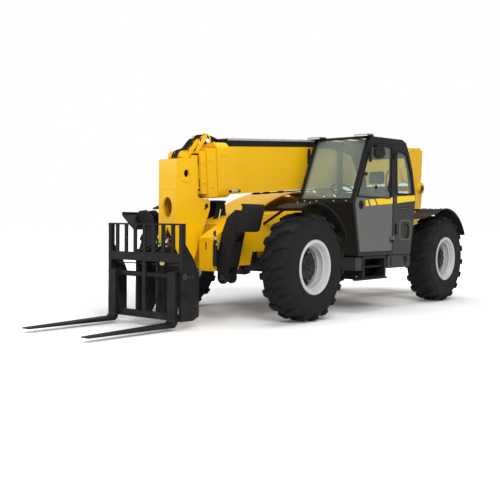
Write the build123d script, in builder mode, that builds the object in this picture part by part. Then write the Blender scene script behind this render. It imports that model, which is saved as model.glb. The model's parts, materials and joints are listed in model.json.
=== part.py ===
"""A high-reach telescopic handler: four boom sections, two front stabilizers and a fork carriage.

Frame: millimetres, +X to the machine's front, +Y to its left (the cab's side), +Z up. The origin lies
on the ground under the middle of the machine, forks included.
"""

import os
from math import atan2, cos, degrees, radians, sin

from build123d import *

os.makedirs("parts", exist_ok=True)

# ---------------------------------------------------------------- driving dimensions
HALF_LENGTH = 3963  # fork tips to counterweight is twice this
FRONT_AXLE_X = 984
WHEELBASE = 3694
REAR_AXLE_X = FRONT_AXLE_X - WHEELBASE
AXLE_Z = 685  # also the tyre's radius
TYRE_R = 685
WHEEL_Y = 1095  # wheel's middle plane
KINGPIN_Y = 950

FRAME_Y = 460  # outer face of the front frame box
RAIL_Y = 290  # outer face of the rear rails and tower plates
PLATE = 25  # frame plate

BOOM_ANGLE = 4.3  # degrees, nose down when stowed
PIVOT_X, PIVOT_Z = -3733, 1870  # boom's rear pin
BOOM_C_Z = 2286  # boom's centre line above the pin

AXES = (("front", FRONT_AXLE_X), ("rear", REAR_AXLE_X))
SIDES = (("left", 1), ("right", -1))

# boom directions
BOOM_DIR = Vector(cos(radians(BOOM_ANGLE)), 0, -sin(radians(BOOM_ANGLE)))
BOOM_ORIGIN = Vector(PIVOT_X, 0, BOOM_C_Z)


def boom_section_plane(along):
    """Plane across the boom, this far along its centre line from above the rear pin."""
    return Plane(origin=BOOM_ORIGIN + BOOM_DIR * along, x_dir=(0, 1, 0), z_dir=BOOM_DIR)


def boom_point(along, up):
    """X and Z of a point this far along the boom and above its centre line."""
    x = PIVOT_X + along * BOOM_DIR.X - up * BOOM_DIR.Z
    return (x, BOOM_C_Z + along * BOOM_DIR.Z + up * BOOM_DIR.X)


def side_plane(y):
    """Upright plane along the machine whose extrusions go towards -Y."""
    return Plane.XZ.offset(-y)


def across_plane(x):
    """Upright plane across the machine: sketch X is the machine's Y, sketch Y is height."""
    return Plane.YZ.offset(x)


# ---------------------------------------------------------------- main frame
FRAME_FRONT_X = 1967
FRAME_JOIN_X = 137
RAIL_BACK_X = -3523
AXLE_TOP_Z = 860  # frame's underside over the axles
LEG_X0, LEG_X1 = 1750, 1930  # stabilizer leg, its two outer faces
LEG_PIVOT = (575, 570)  # Y, Z
PAD_PIN = (870, 1310)
LEG_EYE = (800, 1230)
CYL_BASE = (515, 740)
LIFT_BASE_X, LIFT_BASE_Z = -3063, 820
LIFT_EYE_X, LIFT_EYE_Z = -1143, 1640

HEAD_BAY_X, HEAD_BAY_Y = 1640, 200  # the boom's head comes down between the stabilizer boxes
FRAME_LOW_Z = 638  # underside in front of the axle
BAY_TOP_Z = 1211  # the frame's sloping top where the bay starts
FRONT_FRAME = (
    (HEAD_BAY_X, BAY_TOP_Z),
    (1527, 1268),
    (1360, 1320),
    (900, 1345),
    (FRAME_JOIN_X, 1400),
    (FRAME_JOIN_X, 720),
    (687, 720),
    (757, AXLE_TOP_Z),
    (1215, AXLE_TOP_Z),
    (1262, 690),
    (1474, 690),
    (1500, FRAME_LOW_Z),
    (HEAD_BAY_X, FRAME_LOW_Z),
)
FRONT_HOLLOW = (
    (HEAD_BAY_X - PLATE, 500),
    (HEAD_BAY_X - PLATE, BAY_TOP_Z - 16),
    (1520, 1242),
    (1357, 1294),
    (900, 1319),
    (FRAME_JOIN_X + PLATE, 1372),
    (FRAME_JOIN_X + PLATE, 500),
)
STABILIZER_BOX = (
    (HEAD_BAY_X, FRAME_LOW_Z),
    (HEAD_BAY_X, BAY_TOP_Z),
    (FRAME_FRONT_X, 1045),
    (FRAME_FRONT_X, FRAME_LOW_Z),
)
SLOT_Y, SLOT_Z = 330, 940  # hand slot in each box's front face
RAIL = (
    (FRAME_JOIN_X, 720),
    (FRAME_JOIN_X, 1400),
    (-700, 1380),
    (-2400, 1380),
    (-3000, 1560),
    (-3560, 1960),
    (-3733, 2000),
    (-3833, 1960),
    (-3790, 1560),
    (-3660, 1240),
    (RAIL_BACK_X, 1215),
    (RAIL_BACK_X, 700),
    (-3100, 700),
    (-2960, AXLE_TOP_Z),
    (-2460, AXLE_TOP_Z),
    (-2320, 720),
)
with BuildPart() as front_frame:
    with BuildSketch(Plane.XZ):
        Polygon(*FRONT_FRAME, align=None)
    extrude(amount=FRAME_Y, both=True)
    with BuildSketch(Plane.XZ):
        Polygon(*FRONT_HOLLOW, align=None)
    extrude(amount=FRAME_Y - PLATE, both=True, mode=Mode.SUBTRACT)
front_frame.part.label = "front_frame"
export_step(front_frame.part, "parts/front_frame.step")

# a closed box each side of the head's bay, with a slot in its front face
with BuildPart() as stabilizer_boxes:
    for side_name, side in SIDES:
        with BuildSketch(side_plane(side * FRAME_Y)):
            Polygon(*STABILIZER_BOX, align=None)
        extrude(amount=side * (FRAME_Y - HEAD_BAY_Y - PLATE))
        with BuildSketch(across_plane(FRAME_FRONT_X)):
            with Locations((side * SLOT_Y, SLOT_Z)):
                SlotOverall(100, 34, rotation=90)
        extrude(amount=-22, mode=Mode.SUBTRACT)
stabilizer_boxes.part.label = "stabilizer_boxes"
export_step(stabilizer_boxes.part, "parts/stabilizer_boxes.step")

# plates between each stabilizer leg's two, which carry the leg and its cylinder, with their pins
BRACKET_IN, BRACKET_T = 26, 18  # from the leg's outer face, and its thickness
BRACKET = ((FRAME_Y, 640), (FRAME_Y, 900), (500, 900), (585, 800), (645, 640))  # Y, Z
with BuildPart() as stabilizer_brackets:
    for side_name, side in SIDES:
        for x in (LEG_X0 + BRACKET_IN, LEG_X1 - BRACKET_IN - BRACKET_T):
            with BuildSketch(across_plane(x)):
                Polygon(*((side * y, z) for y, z in BRACKET), align=None)
                with Locations((side * LEG_PIVOT[0], LEG_PIVOT[1])):
                    Circle(72)
            extrude(amount=BRACKET_T)
        for (y, z), radius, past in ((LEG_PIVOT, 30, -5), (CYL_BASE, 20, BRACKET_IN)):
            with BuildSketch(across_plane(LEG_X0 + past)):
                with Locations((side * y, z)):
                    Circle(radius)
            extrude(amount=LEG_X1 - LEG_X0 - 2 * past)
stabilizer_brackets.part.label = "stabilizer_brackets"
export_step(stabilizer_brackets.part, "parts/stabilizer_brackets.step")

# rear rails, which rise at the back into the boom tower
HOOD_HINGE = (-322, 1730)  # Y, Z
HOOD_HINGE_X = (-1700, -1180)
HOOD_BARREL = 60
with BuildPart() as frame_rails:
    for side_name, side in SIDES:
        with BuildSketch(side_plane(side * RAIL_Y)):
            Polygon(*RAIL, align=None)
        extrude(amount=side * PLATE)
        # boss round the boom's rear pin, and ear for the lift cylinder's base
        with BuildSketch(side_plane(side * (RAIL_Y + 35))):
            with Locations((PIVOT_X, PIVOT_Z)):
                Circle(100)
        extrude(amount=side * (PLATE + 35))
        with BuildSketch(side_plane(side * (RAIL_Y - 1))):
            with Locations((LIFT_BASE_X, LIFT_BASE_Z)):
                Circle(75)
        extrude(amount=side * (RAIL_Y - 1 - 95))
    with BuildSketch(Plane.XZ):
        with Locations((PIVOT_X, PIVOT_Z)):
            Circle(50.05)
        with Locations((LIFT_BASE_X, LIFT_BASE_Z)):
            Circle(40.05)
    extrude(amount=RAIL_Y + 50, both=True, mode=Mode.SUBTRACT)
    # posts and pins for the engine hood's hinge
    for x in HOOD_HINGE_X:
        with BuildSketch(across_plane(x)):
            Polygon(
                (-RAIL_Y, 1330), (-RAIL_Y, 1735), (-332, 1745), (-332, 1690), (-310, 1330),
                align=None,
            )
        extrude(amount=20)
        with BuildSketch(across_plane(x - HOOD_BARREL)):
            with Locations(HOOD_HINGE):
                Circle(6)
        extrude(amount=HOOD_BARREL + 10)
frame_rails.part.label = "frame_rails"
export_step(frame_rails.part, "parts/frame_rails.step")

with BuildPart() as cross_members:
    for x, z, length, height in (
        (-900, 730, 1900, 20),
        (-2130, 900, 20, 300),
        (-3200, 1010, 20, 260),
        (RAIL_BACK_X + 10, 958, 20, 514),
        (FRAME_JOIN_X - 200, 1370, 400, 20),
    ):
        with BuildSketch(Plane.XZ):
            with Locations((x, z)):
                Rectangle(length, height)
        extrude(amount=RAIL_Y - PLATE, both=True)
cross_members.part.label = "cross_members"
export_step(cross_members.part, "parts/cross_members.step")

# ---------------------------------------------------------------- axles and knuckles
NOSE_REACH = 210
NOSE_DIR = {"front": 1, "rear": -1}
YOKE_Z = 170  # from the axle's middle to a yoke arm's inner face
YOKE_T = 40
PIN_R = 32
# radius from the wheel's axis, distance outward from its middle plane
RIM_PROFILE = (
    (50.05, 75), (50.05, -35), (170, -35), (170, -65), (290, -65), (290, -190), (345, -190), (345, -172),
    (305, -150), (305, 150), (345, 172), (345, 190), (300, 190), (275, 120), (262, -20),
    (150, -20), (150, 75),
)
TREAD_R = 648  # between the lugs
TYRE_PROFILE = (
    (306, -148), (346, -170), (346, -190), (430, -200), (560, -198), (625, -180), (TREAD_R, -150),
    (TREAD_R, 150), (625, 180), (560, 198), (430, 200), (346, 190), (346, 170), (306, 148),
)
# one lug's footprint: distance from the tyre's middle plane, distance round the tread
LUG_COUNT = 18
LUG = ((4, -78), (60, -42), (125, -16), (192, -8), (192, 78), (118, 72), (48, 40), (4, -4))
LUG_TIP = 78  # its furthest corners round the tread, which reach the tyre's full radius
LUG_TOP = (TYRE_R**2 - LUG_TIP**2) ** 0.5
LUG_ROOT = 600
LUG_SHOULDER = 26  # slope off its outer end
with BuildPart() as lug:
    with BuildSketch(Plane.XY.offset(LUG_ROOT)):
        Polygon(*LUG, align=None)
    extrude(amount=LUG_TOP - LUG_ROOT)
    outer_end = lug.faces().sort_by(Axis.X)[-1]
    chamfer(outer_end.edges().sort_by(Axis.Z)[-1], length=LUG_SHOULDER)
# turns the tyre so that one lug's furthest corners stand on the ground
LUG_START = -degrees(atan2(LUG_TIP, LUG_TOP))
for axle_name, axle_x in AXES:
    with BuildPart() as axle:
        with BuildSketch(Plane.XZ):
            with Locations((axle_x, AXLE_Z)):
                Circle(95)
        extrude(amount=800, both=True)
        # differential bowl
        with BuildSketch(side_plane(0)):
            with Locations((axle_x, AXLE_Z)):
                Circle(150)
        extrude(amount=190, both=True)
        fillet(axle.edges().filter_by(GeomType.CIRCLE).filter_by(lambda e: abs(e.radius - 150) < 1), 45)
        # pinion nose towards the transfer box
        with BuildSketch(across_plane(axle_x - NOSE_DIR[axle_name] * NOSE_REACH)):
            with Locations((0, AXLE_Z)):
                Circle(60)
        extrude(amount=NOSE_DIR[axle_name] * (NOSE_REACH - 100))
        # seats against the frame
        for y in (-RAIL_Y + 60, RAIL_Y - 60):
            with Locations((axle_x, y, AXLE_Z + 105)):
                Box(200, 80, 140)
        for side_name, side in SIDES:
            with Locations((axle_x, side * 805, AXLE_Z)):
                Box(150, 60, 2 * (YOKE_Z + YOKE_T))
            for up in (1, -1):
                with BuildSketch(Plane.XY.offset(AXLE_Z + up * (YOKE_Z + YOKE_T / 2))):
                    with Locations((axle_x, side * (KINGPIN_Y + 775) / 2)):
                        Rectangle(130, KINGPIN_Y - 775)
                    with Locations((axle_x, side * KINGPIN_Y)):
                        Circle(65)
                extrude(amount=YOKE_T / 2, both=True)
            with BuildSketch(Plane.XY.offset(AXLE_Z)):
                with Locations((axle_x, side * KINGPIN_Y)):
                    Circle(PIN_R + 0.05)
            extrude(amount=300, both=True, mode=Mode.SUBTRACT)
    axle.part.label = f"{axle_name}_axle"
    export_step(axle.part, f"parts/{axle_name}_axle.step")

    for side_name, side in SIDES:
        corner = f"{axle_name}_{side_name}"
        # knuckle: hub carrier between the yoke's arms, pins up and down, steering arm, spindle
        with BuildPart() as knuckle:
            with BuildSketch(Plane.XY.offset(AXLE_Z)):
                with Locations((axle_x, side * KINGPIN_Y)):
                    Circle(62)
            extrude(amount=YOKE_Z - 6, both=True)
            with BuildSketch(Plane.XY.offset(AXLE_Z)):
                with Locations((axle_x, side * KINGPIN_Y)):
                    Circle(PIN_R)
            extrude(amount=YOKE_Z + YOKE_T + 12, both=True)
            with BuildSketch(side_plane(side * 1000)):
                with Locations((axle_x, AXLE_Z)):
                    Circle(130)
            extrude(amount=-side * 45)
            with BuildSketch(side_plane(side * (KINGPIN_Y))):
                with Locations((axle_x, AXLE_Z)):
                    Circle(50)
            extrude(amount=-side * 250)
        knuckle.part.label = f"knuckle_{corner}"
        export_step(knuckle.part, f"parts/knuckle_{corner}.step")

        # rim: dished disc and barrel, with the planetary hub's drum
        wheel_middle = Vector(axle_x, side * WHEEL_Y, AXLE_Z)
        wheel_plane = Plane(origin=wheel_middle, x_dir=(1, 0, 0), z_dir=(0, 0, side))
        wheel_axis = Axis(wheel_middle, (0, 1, 0))
        with BuildPart() as rim:
            with BuildSketch(wheel_plane):
                with BuildLine():
                    Polyline(*RIM_PROFILE, close=True)
                make_face()
            revolve(axis=wheel_axis)
        rim.part.label = f"rim_{corner}"
        export_step(rim.part, f"parts/rim_{corner}.step")

        with BuildPart() as tyre:
            with BuildSketch(wheel_plane):
                with BuildLine():
                    Polyline(*TYRE_PROFILE, close=True)
                make_face()
            revolve(axis=wheel_axis)
            places = []
            for half, start in ((1, 0.0), (-1, 0.5)):
                for k in range(LUG_COUNT):
                    turn = radians(LUG_START - 90 + 360 / LUG_COUNT * (k + start))
                    radial = Vector(cos(turn), 0, sin(turn))
                    places.append(Plane(origin=wheel_middle, x_dir=(0, half, 0), z_dir=radial).location)
            with Locations(*places):
                add(lug.part)
        tyre.part.label = f"tyre_{corner}"
        export_step(tyre.part, f"parts/tyre_{corner}.step")

# ---------------------------------------------------------------- body on the frame
TOW_X, TOW_R = -3910, 20
TAIL_Z, TAIL_X, TAIL_D = 1010, -HALF_LENGTH + 4, 30
with BuildPart() as counterweight:
    with BuildSketch(Plane.XZ):
        Polygon(
            (RAIL_BACK_X, 620), (-3900, 620), (-HALF_LENGTH, 700), (-HALF_LENGTH, 1060), (-3900, 1200),
            (RAIL_BACK_X, 1200), align=None,
        )
    extrude(amount=800, both=True)
    fillet(counterweight.edges().filter_by(Axis.Z).group_by(Axis.X)[0], 60)
    # pockets for the tail lamps, and a tow pocket with its pin's bore
    for side_name, side in SIDES:
        with BuildSketch(across_plane(-HALF_LENGTH)):
            with Locations((side * 690, TAIL_Z)):
                RectangleRounded(190, 84, 16)
        extrude(amount=TAIL_D + 4, mode=Mode.SUBTRACT)
    with BuildSketch(side_plane(70)):
        Polygon(
            (-HALF_LENGTH - 10, 740), (-HALF_LENGTH - 10, 820), (-3850, 820), (-3850, 740),
            align=None,
        )
    extrude(amount=140, mode=Mode.SUBTRACT)
    with BuildSketch(Plane.XY.offset(600)):
        with Locations((TOW_X, 0)):
            Circle(TOW_R)
    extrude(amount=190, mode=Mode.SUBTRACT)
counterweight.part.label = "counterweight"
export_step(counterweight.part, "parts/counterweight.step")

CAB_IN_Y, CAB_OUT_Y = 300, 1220
CAB_WALL = 40
CAB_OUTLINE = (
    (-138, 790), (17, 1510), (-10, 1560), (-393, 2420), (-430, 2445), (-1318, 2470), (-1440, 2430),
    (-1532, 2300), (-1654, 2050), (-1768, 1660), (-1704, 1145), (-1620, 790),
)
CAB_INSIDE = (
    (-180, 830), (-35, 1515), (-440, 2400), (-1318, 2430), (-1410, 2395), (-1495, 2280), (-1616, 2040),
    (-1727, 1660), (-1664, 1150), (-1584, 830),
)
DOOR_HINGE = (-1060, 1240)  # X, Y
DOOR_HINGE_Z = (1000, 2200)
DOOR_OPENING = (
    (-173, 840), (-35, 1510), (-60, 1560), (-405, 2340), (-430, 2360), (-1063, 2385),
    (-1063, 840),
)
REAR_QUARTER = ((-1190, 1680), (-1160, 2290), (-1400, 2290), (-1480, 2230), (-1600, 1990), (-1690, 1680))
RIGHT_WINDOW = ((-90, 1620), (-400, 2330), (-1000, 2350), (-1000, 1620))
LOUVRE_X, LOUVRE_Z = -1420, 1420
GRIP = (-1500, 1115)
with BuildPart() as cab_frame:
    with BuildSketch(side_plane(CAB_OUT_Y)):
        Polygon(*CAB_OUTLINE, align=None)
    extrude(amount=CAB_OUT_Y - CAB_IN_Y)
    with BuildSketch(side_plane(CAB_OUT_Y - CAB_WALL)):
        Polygon(*CAB_INSIDE, align=None)
    extrude(amount=CAB_OUT_Y - CAB_IN_Y - 2 * CAB_WALL, mode=Mode.SUBTRACT)
    # door opening and the rear quarter window in the left side
    with BuildSketch(side_plane(CAB_OUT_Y + 10)):
        Polygon(*DOOR_OPENING, align=None)
        Polygon(*REAR_QUARTER, align=None)
    extrude(amount=CAB_WALL + 20, mode=Mode.SUBTRACT)
    # louvres and a grip recess pressed into the panel behind the door
    with BuildSketch(side_plane(CAB_OUT_Y)):
        with Locations((LOUVRE_X, LOUVRE_Z)):
            with GridLocations(0, 46, 1, 5):
                SlotOverall(230, 20)
        with Locations(GRIP):
            SlotOverall(150, 80)
    extrude(amount=12, mode=Mode.SUBTRACT)
    # windows in the right side
    with BuildSketch(side_plane(CAB_IN_Y + CAB_WALL + 10)):
        Polygon(*RIGHT_WINDOW, align=None)
        Polygon((-1100, 1700), (-1100, 2330), (-1400, 2290), (-1600, 1990), (-1680, 1700), align=None)
    extrude(amount=CAB_WALL + 20, mode=Mode.SUBTRACT)
    # windscreen and roof light
    with BuildSketch(side_plane(CAB_OUT_Y - 60)):
        Polygon(
            (60, 1575), (60, 2600), (-1002, 2600), (-1002, 2380), (-450, 2380), (-110, 1575),
            align=None,
        )
    extrude(amount=CAB_OUT_Y - CAB_IN_Y - 120, mode=Mode.SUBTRACT)
    # rear window
    with BuildSketch(across_plane(-1900)):
        with Locations(((CAB_IN_Y + CAB_OUT_Y) / 2, 1960)):
            Rectangle(CAB_OUT_Y - CAB_IN_Y - 160, 520)
    extrude(amount=450, mode=Mode.SUBTRACT)
    # door hinges: a bracket and pin below each barrel of the door
    for z in DOOR_HINGE_Z:
        with BuildSketch(Plane.XY.offset(z - 30)):
            with Locations(DOOR_HINGE):
                Circle(16)
            with Locations((DOOR_HINGE[0] - 25, CAB_OUT_Y + 4)):
                Rectangle(50, 18)
        extrude(amount=28)
        with BuildSketch(Plane.XY.offset(z - 30)):
            with Locations(DOOR_HINGE):
                Circle(8)
        extrude(amount=80)
cab_frame.part.label = "cab_frame"
export_step(cab_frame.part, "parts/cab_frame.step")

GLASS = 8
with BuildPart() as cab_glass:
    # windscreen, which bends over into the roof
    with BuildSketch(side_plane(CAB_OUT_Y - 62)):
        with BuildLine():
            outer = Polyline((-18, 1580), (-396, 2412), (-430, 2438), (-998, 2455))
            offset(outer, amount=GLASS, side=Side.LEFT)
        make_face()
    extrude(amount=CAB_OUT_Y - CAB_IN_Y - 124)
    # right side, rear quarter and rear panes, each let into its opening
    with BuildSketch(side_plane(CAB_IN_Y + 24)):
        Polygon(*RIGHT_WINDOW, align=None)
        Polygon((-1100, 1700), (-1100, 2330), (-1400, 2290), (-1600, 1990), (-1680, 1700), align=None)
    extrude(amount=GLASS)
    with BuildSketch(side_plane(CAB_OUT_Y - 16)):
        Polygon(*REAR_QUARTER, align=None)
    extrude(amount=GLASS)
cab_glass.part.label = "cab_glass"
export_step(cab_glass.part, "parts/cab_glass.step")

# door, hinged at its rear edge
DOOR = ((-179, 846), (-43, 1511), (-68, 1556), (-409, 2334), (-432, 2354), (-1057, 2379), (-1057, 846))
DOOR_WINDOW = ((-95, 1600), (-425, 2315), (-1010, 2338), (-1010, 1600))
with BuildPart() as door_panel:
    with BuildSketch(side_plane(CAB_OUT_Y)):
        Polygon(*DOOR, align=None)
        Polygon(*DOOR_WINDOW, align=None, mode=Mode.SUBTRACT)
    extrude(amount=CAB_WALL)
    for z in DOOR_HINGE_Z:
        with BuildSketch(Plane.XY.offset(z)):
            with Locations(DOOR_HINGE):
                Circle(16)
            with Locations((DOOR_HINGE[0] + 25, CAB_OUT_Y + 4)):
                Rectangle(50, 18)
            with Locations(DOOR_HINGE):
                Circle(8.05, mode=Mode.SUBTRACT)
        extrude(amount=60)
door_panel.part.label = "door_panel"
export_step(door_panel.part, "parts/door_panel.step")

with BuildPart() as door_glass:
    with BuildSketch(side_plane(CAB_OUT_Y - 16)):
        Polygon(*DOOR_WINDOW, align=None)
    extrude(amount=GLASS)
door_glass.part.label = "door_glass"
export_step(door_glass.part, "parts/door_glass.step")

# inside the cab
SEAT_X, SEAT_Y = -1130, 760
with BuildPart() as seat_base:
    with BuildSketch(Plane.XY.offset(830)):
        with Locations((SEAT_X, SEAT_Y)):
            RectangleRounded(420, 420, 40)
    extrude(amount=370)
seat_base.part.label = "seat_base"
export_step(seat_base.part, "parts/seat_base.step")

with BuildPart() as seat_cushion:
    with BuildSketch(side_plane(SEAT_Y + 240)):
        Polygon(
            (SEAT_X + 270, 1200), (SEAT_X + 270, 1310), (SEAT_X - 130, 1300), (SEAT_X - 210, 1820),
            (SEAT_X - 310, 1820), (SEAT_X - 250, 1200), align=None,
        )
    extrude(amount=480)
    with BuildSketch(side_plane(SEAT_Y + 140)):
        with Locations((SEAT_X - 262, 1930)):
            Rectangle(90, 220)
    extrude(amount=280)
seat_cushion.part.label = "seat_cushion"
export_step(seat_cushion.part, "parts/seat_cushion.step")

WHEEL_HUB = Vector(-470, SEAT_Y, 1500)
with BuildPart() as controls:
    # column, console and steering wheel
    with BuildSketch(side_plane(SEAT_Y + 110)):
        Polygon((-230, 830), (-120, 1330), (-300, 1450), (-400, 1400), (-430, 830), align=None)
    extrude(amount=220)
    wheel_tilt = Plane(origin=WHEEL_HUB, x_dir=(0, 1, 0), z_dir=(-0.6, 0, 0.8))
    with BuildSketch(wheel_tilt):
        Circle(45)
    extrude(amount=-200)
    with BuildSketch(wheel_tilt):
        Circle(190)
        Circle(160, mode=Mode.SUBTRACT)
        Rectangle(340, 40)
        Circle(45)
    extrude(amount=15, both=True)
    # right-hand console
    with BuildSketch(side_plane(440)):
        Polygon((-700, 830), (-650, 1380), (-1250, 1380), (-1300, 830), align=None)
    extrude(amount=90)
controls.part.label = "controls"
export_step(controls.part, "parts/controls.step")

# step box, tank and battery box under the cab
STEP_X0, STEP_X1 = -930, -293
with BuildPart() as step_box:
    with BuildSketch(side_plane(1200)):
        Polygon((STEP_X1, 785), (STEP_X0, 785), (STEP_X0, 455), (STEP_X1, 455), align=None)
    extrude(amount=880)
    with BuildSketch(side_plane(1210)):
        Polygon(
            (STEP_X1 - 45, 745), (STEP_X0 + 45, 745), (STEP_X0 + 45, 490), (STEP_X1 - 45, 490),
            align=None,
        )
    extrude(amount=220, mode=Mode.SUBTRACT)
    # upper tread across the opening, and the lower one's lip that runs on forwards
    with BuildSketch(side_plane(1170)):
        Polygon(
            (STEP_X1 - 45, 640), (STEP_X0 + 45, 640), (STEP_X0 + 45, 622), (STEP_X1 - 45, 622),
            align=None,
        )
    extrude(amount=180)
    with BuildSketch(side_plane(1230)):
        Polygon((-83, 478), (STEP_X0, 478), (STEP_X0, 455), (-83, 455), align=None)
    extrude(amount=60)
step_box.part.label = "step_box"
export_step(step_box.part, "parts/step_box.step")

with BuildPart() as tank:
    with BuildSketch(side_plane(1190)):
        with Locations((-1335, 685)):
            RectangleRounded(690, 190, 50)
    extrude(amount=870)
    with BuildSketch(side_plane(1190)):
        Polygon((-120, 590), (-105, 770), (STEP_X1, 770), (STEP_X1, 590), align=None)
    extrude(amount=700)
    # filler neck on the outer side
    with BuildSketch(side_plane(1190)):
        with Locations((-1560, 715)):
            Circle(42)
    extrude(amount=-24)
tank.part.label = "tank"
export_step(tank.part, "parts/tank.step")

# fenders: an arc over each wheel, the rear one with a flat front end, on two tubes from the frame
FENDER_R, FENDER_T = 790, 10
FENDER_IN_Y, FENDER_OUT_Y = 900, 1290
FENDER_START, FENDER_SWEEP = 66, 86  # degrees up from straight ahead
STAY_R = 18
with BuildPart() as fenders:
    # axle, flat end's reach and drop, frame's side, low stay's angle, high stay's angle and its
    # height at the frame
    for axle_x, flat_reach, flat_drop, frame_y, low_angle, high_angle, frame_z in (
        (FRONT_AXLE_X, 0, 0, FRAME_Y, 148, 90, 1215),
        (REAR_AXLE_X, 520, 95, RAIL_Y, 148, 97, 1460),
    ):
        for side_name, side in SIDES:
            arch = Plane(origin=(axle_x, side * FENDER_OUT_Y, AXLE_Z), x_dir=(1, 0, 0), z_dir=(0, -1, 0))
            with BuildSketch(arch):
                with BuildLine():
                    inner = CenterArc((0, 0), FENDER_R, FENDER_START, FENDER_SWEEP)
                    outer = CenterArc((0, 0), FENDER_R + FENDER_T, FENDER_START, FENDER_SWEEP)
                    Line(inner @ 1, outer @ 1)
                    if flat_reach:
                        tip = inner @ 0 + Vector(flat_reach, -flat_drop)
                        Polyline(inner @ 0, tip, tip + Vector(0, FENDER_T), outer @ 0)
                    else:
                        Line(inner @ 0, outer @ 0)
                make_face()
            extrude(amount=side * (FENDER_OUT_Y - FENDER_IN_Y))
            stay_r = FENDER_R + 2
            for angle, z_in, y_out in (
                (low_angle, None, FENDER_OUT_Y - 60), (high_angle, frame_z, FENDER_IN_Y + 12),
            ):
                x = axle_x + stay_r * cos(radians(angle))
                z = AXLE_Z + stay_r * sin(radians(angle))
                foot = Vector(x, side * (frame_y - 5), z if z_in is None else z_in)
                tip = Vector(x, side * y_out, z)
                with BuildSketch(Plane(origin=foot, z_dir=tip - foot)):
                    Circle(STAY_R)
                extrude(amount=(tip - foot).length)
    # the stays end on the frame's sides
    for x0, x1, half_y in ((FRAME_JOIN_X - 50, FRAME_FRONT_X, FRAME_Y), (RAIL_BACK_X, -2000, RAIL_Y)):
        with Locations(((x0 + x1) / 2, 0, 1200)):
            Box(x1 - x0, 2 * half_y, 1200, mode=Mode.SUBTRACT)
fenders.part.label = "fenders"
export_step(fenders.part, "parts/fenders.step")

# ---------------------------------------------------------------- engine side
BAY_OUT_Y = 1190
HOOD_X0, HOOD_X1 = -1813, 257
HOOD_TOP, HOOD_LOW = 1720, 1060
HOOD_NOSE_Z = 1330
HOOD_FLAT_X = -1250  # the top is level behind this and bends down to the nose in front of it
HOOD_T = 20
HOOD_IN_Y = 335


HOOD_CORNER = 230  # the nose's outer corner is cut off by this much each way
GRILLE_X = (-1560, -1290)
GRILLE_Z = (1180, 45, 8)  # lowest slot, spacing, count


def nose_corner(inset):
    """Plan outline of what is cut from the nose's outer corner."""
    return (
        (HOOD_X1 + 50, -BAY_OUT_Y + HOOD_CORNER + 50 - inset * 0.6),
        (HOOD_X1 - HOOD_CORNER - 50 + inset * 0.6 - inset, -BAY_OUT_Y - 50 + inset),
        (HOOD_X1 + 50, -BAY_OUT_Y - 50),
    )


with BuildPart() as hood_inside:
    with BuildSketch(side_plane(-HOOD_IN_Y + 20)):
        with BuildLine():
            nose = (HOOD_X1 - HOOD_T, HOOD_NOSE_Z - HOOD_T)
            top = ThreePointArc(nose, (-420, 1632 - HOOD_T), (HOOD_FLAT_X, HOOD_TOP - HOOD_T))
            Polyline(
                top @ 1, (HOOD_X0 + HOOD_T, HOOD_TOP - HOOD_T), (HOOD_X0 + HOOD_T, HOOD_LOW - HOOD_T),
                (nose[0], HOOD_LOW - HOOD_T), nose,
            )
        make_face()
    extrude(amount=BAY_OUT_Y - HOOD_T - HOOD_IN_Y + 20)
    with BuildSketch(Plane.XY.offset(900)):
        Polygon(*nose_corner(HOOD_T), align=None)
    extrude(amount=1000, mode=Mode.SUBTRACT)

with BuildPart() as engine_hood:
    with BuildSketch(side_plane(-HOOD_IN_Y)):
        with BuildLine():
            nose = (HOOD_X1, HOOD_NOSE_Z)
            top = ThreePointArc(nose, (-420, 1632), (HOOD_FLAT_X, HOOD_TOP))
            Polyline(top @ 1, (HOOD_X0, HOOD_TOP), (HOOD_X0, HOOD_LOW), (HOOD_X1, HOOD_LOW), nose)
        make_face()
    extrude(amount=BAY_OUT_Y - HOOD_IN_Y)
    outer_edges = engine_hood.edges().group_by(Axis.Y)[0]
    fillet(outer_edges.filter_by(lambda e: e.center().Z > 1500), 90)
    with BuildSketch(Plane.XY.offset(900)):
        Polygon(*nose_corner(0), align=None)
    extrude(amount=1000, mode=Mode.SUBTRACT)
    add(hood_inside.part, mode=Mode.SUBTRACT)
    # clear of the front box of the frame
    with BuildSketch(side_plane(-HOOD_IN_Y + 20)):
        Polygon((127, 1000), (400, 1000), (400, 1412), (127, 1412), align=None)
    extrude(amount=FRAME_Y + 10 - HOOD_IN_Y + 20, mode=Mode.SUBTRACT)
    # louvres pressed into the outer side
    first, spacing, count = GRILLE_Z
    with BuildSketch(side_plane(-BAY_OUT_Y)):
        for x in GRILLE_X:
            with GridLocations(0, spacing, 1, count):
                with Locations((x, first + spacing * (count - 1) / 2)):
                    Rectangle(230, 20)
    extrude(amount=-9, mode=Mode.SUBTRACT)
    # hinge barrels on the inner top edge
    for x in HOOD_HINGE_X:
        with BuildSketch(across_plane(x - HOOD_BARREL)):
            with Locations(HOOD_HINGE):
                Circle(20)
                Circle(6.05, mode=Mode.SUBTRACT)
        extrude(amount=HOOD_BARREL - 5)
engine_hood.part.label = "engine_hood"
export_step(engine_hood.part, "parts/engine_hood.step")

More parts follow.
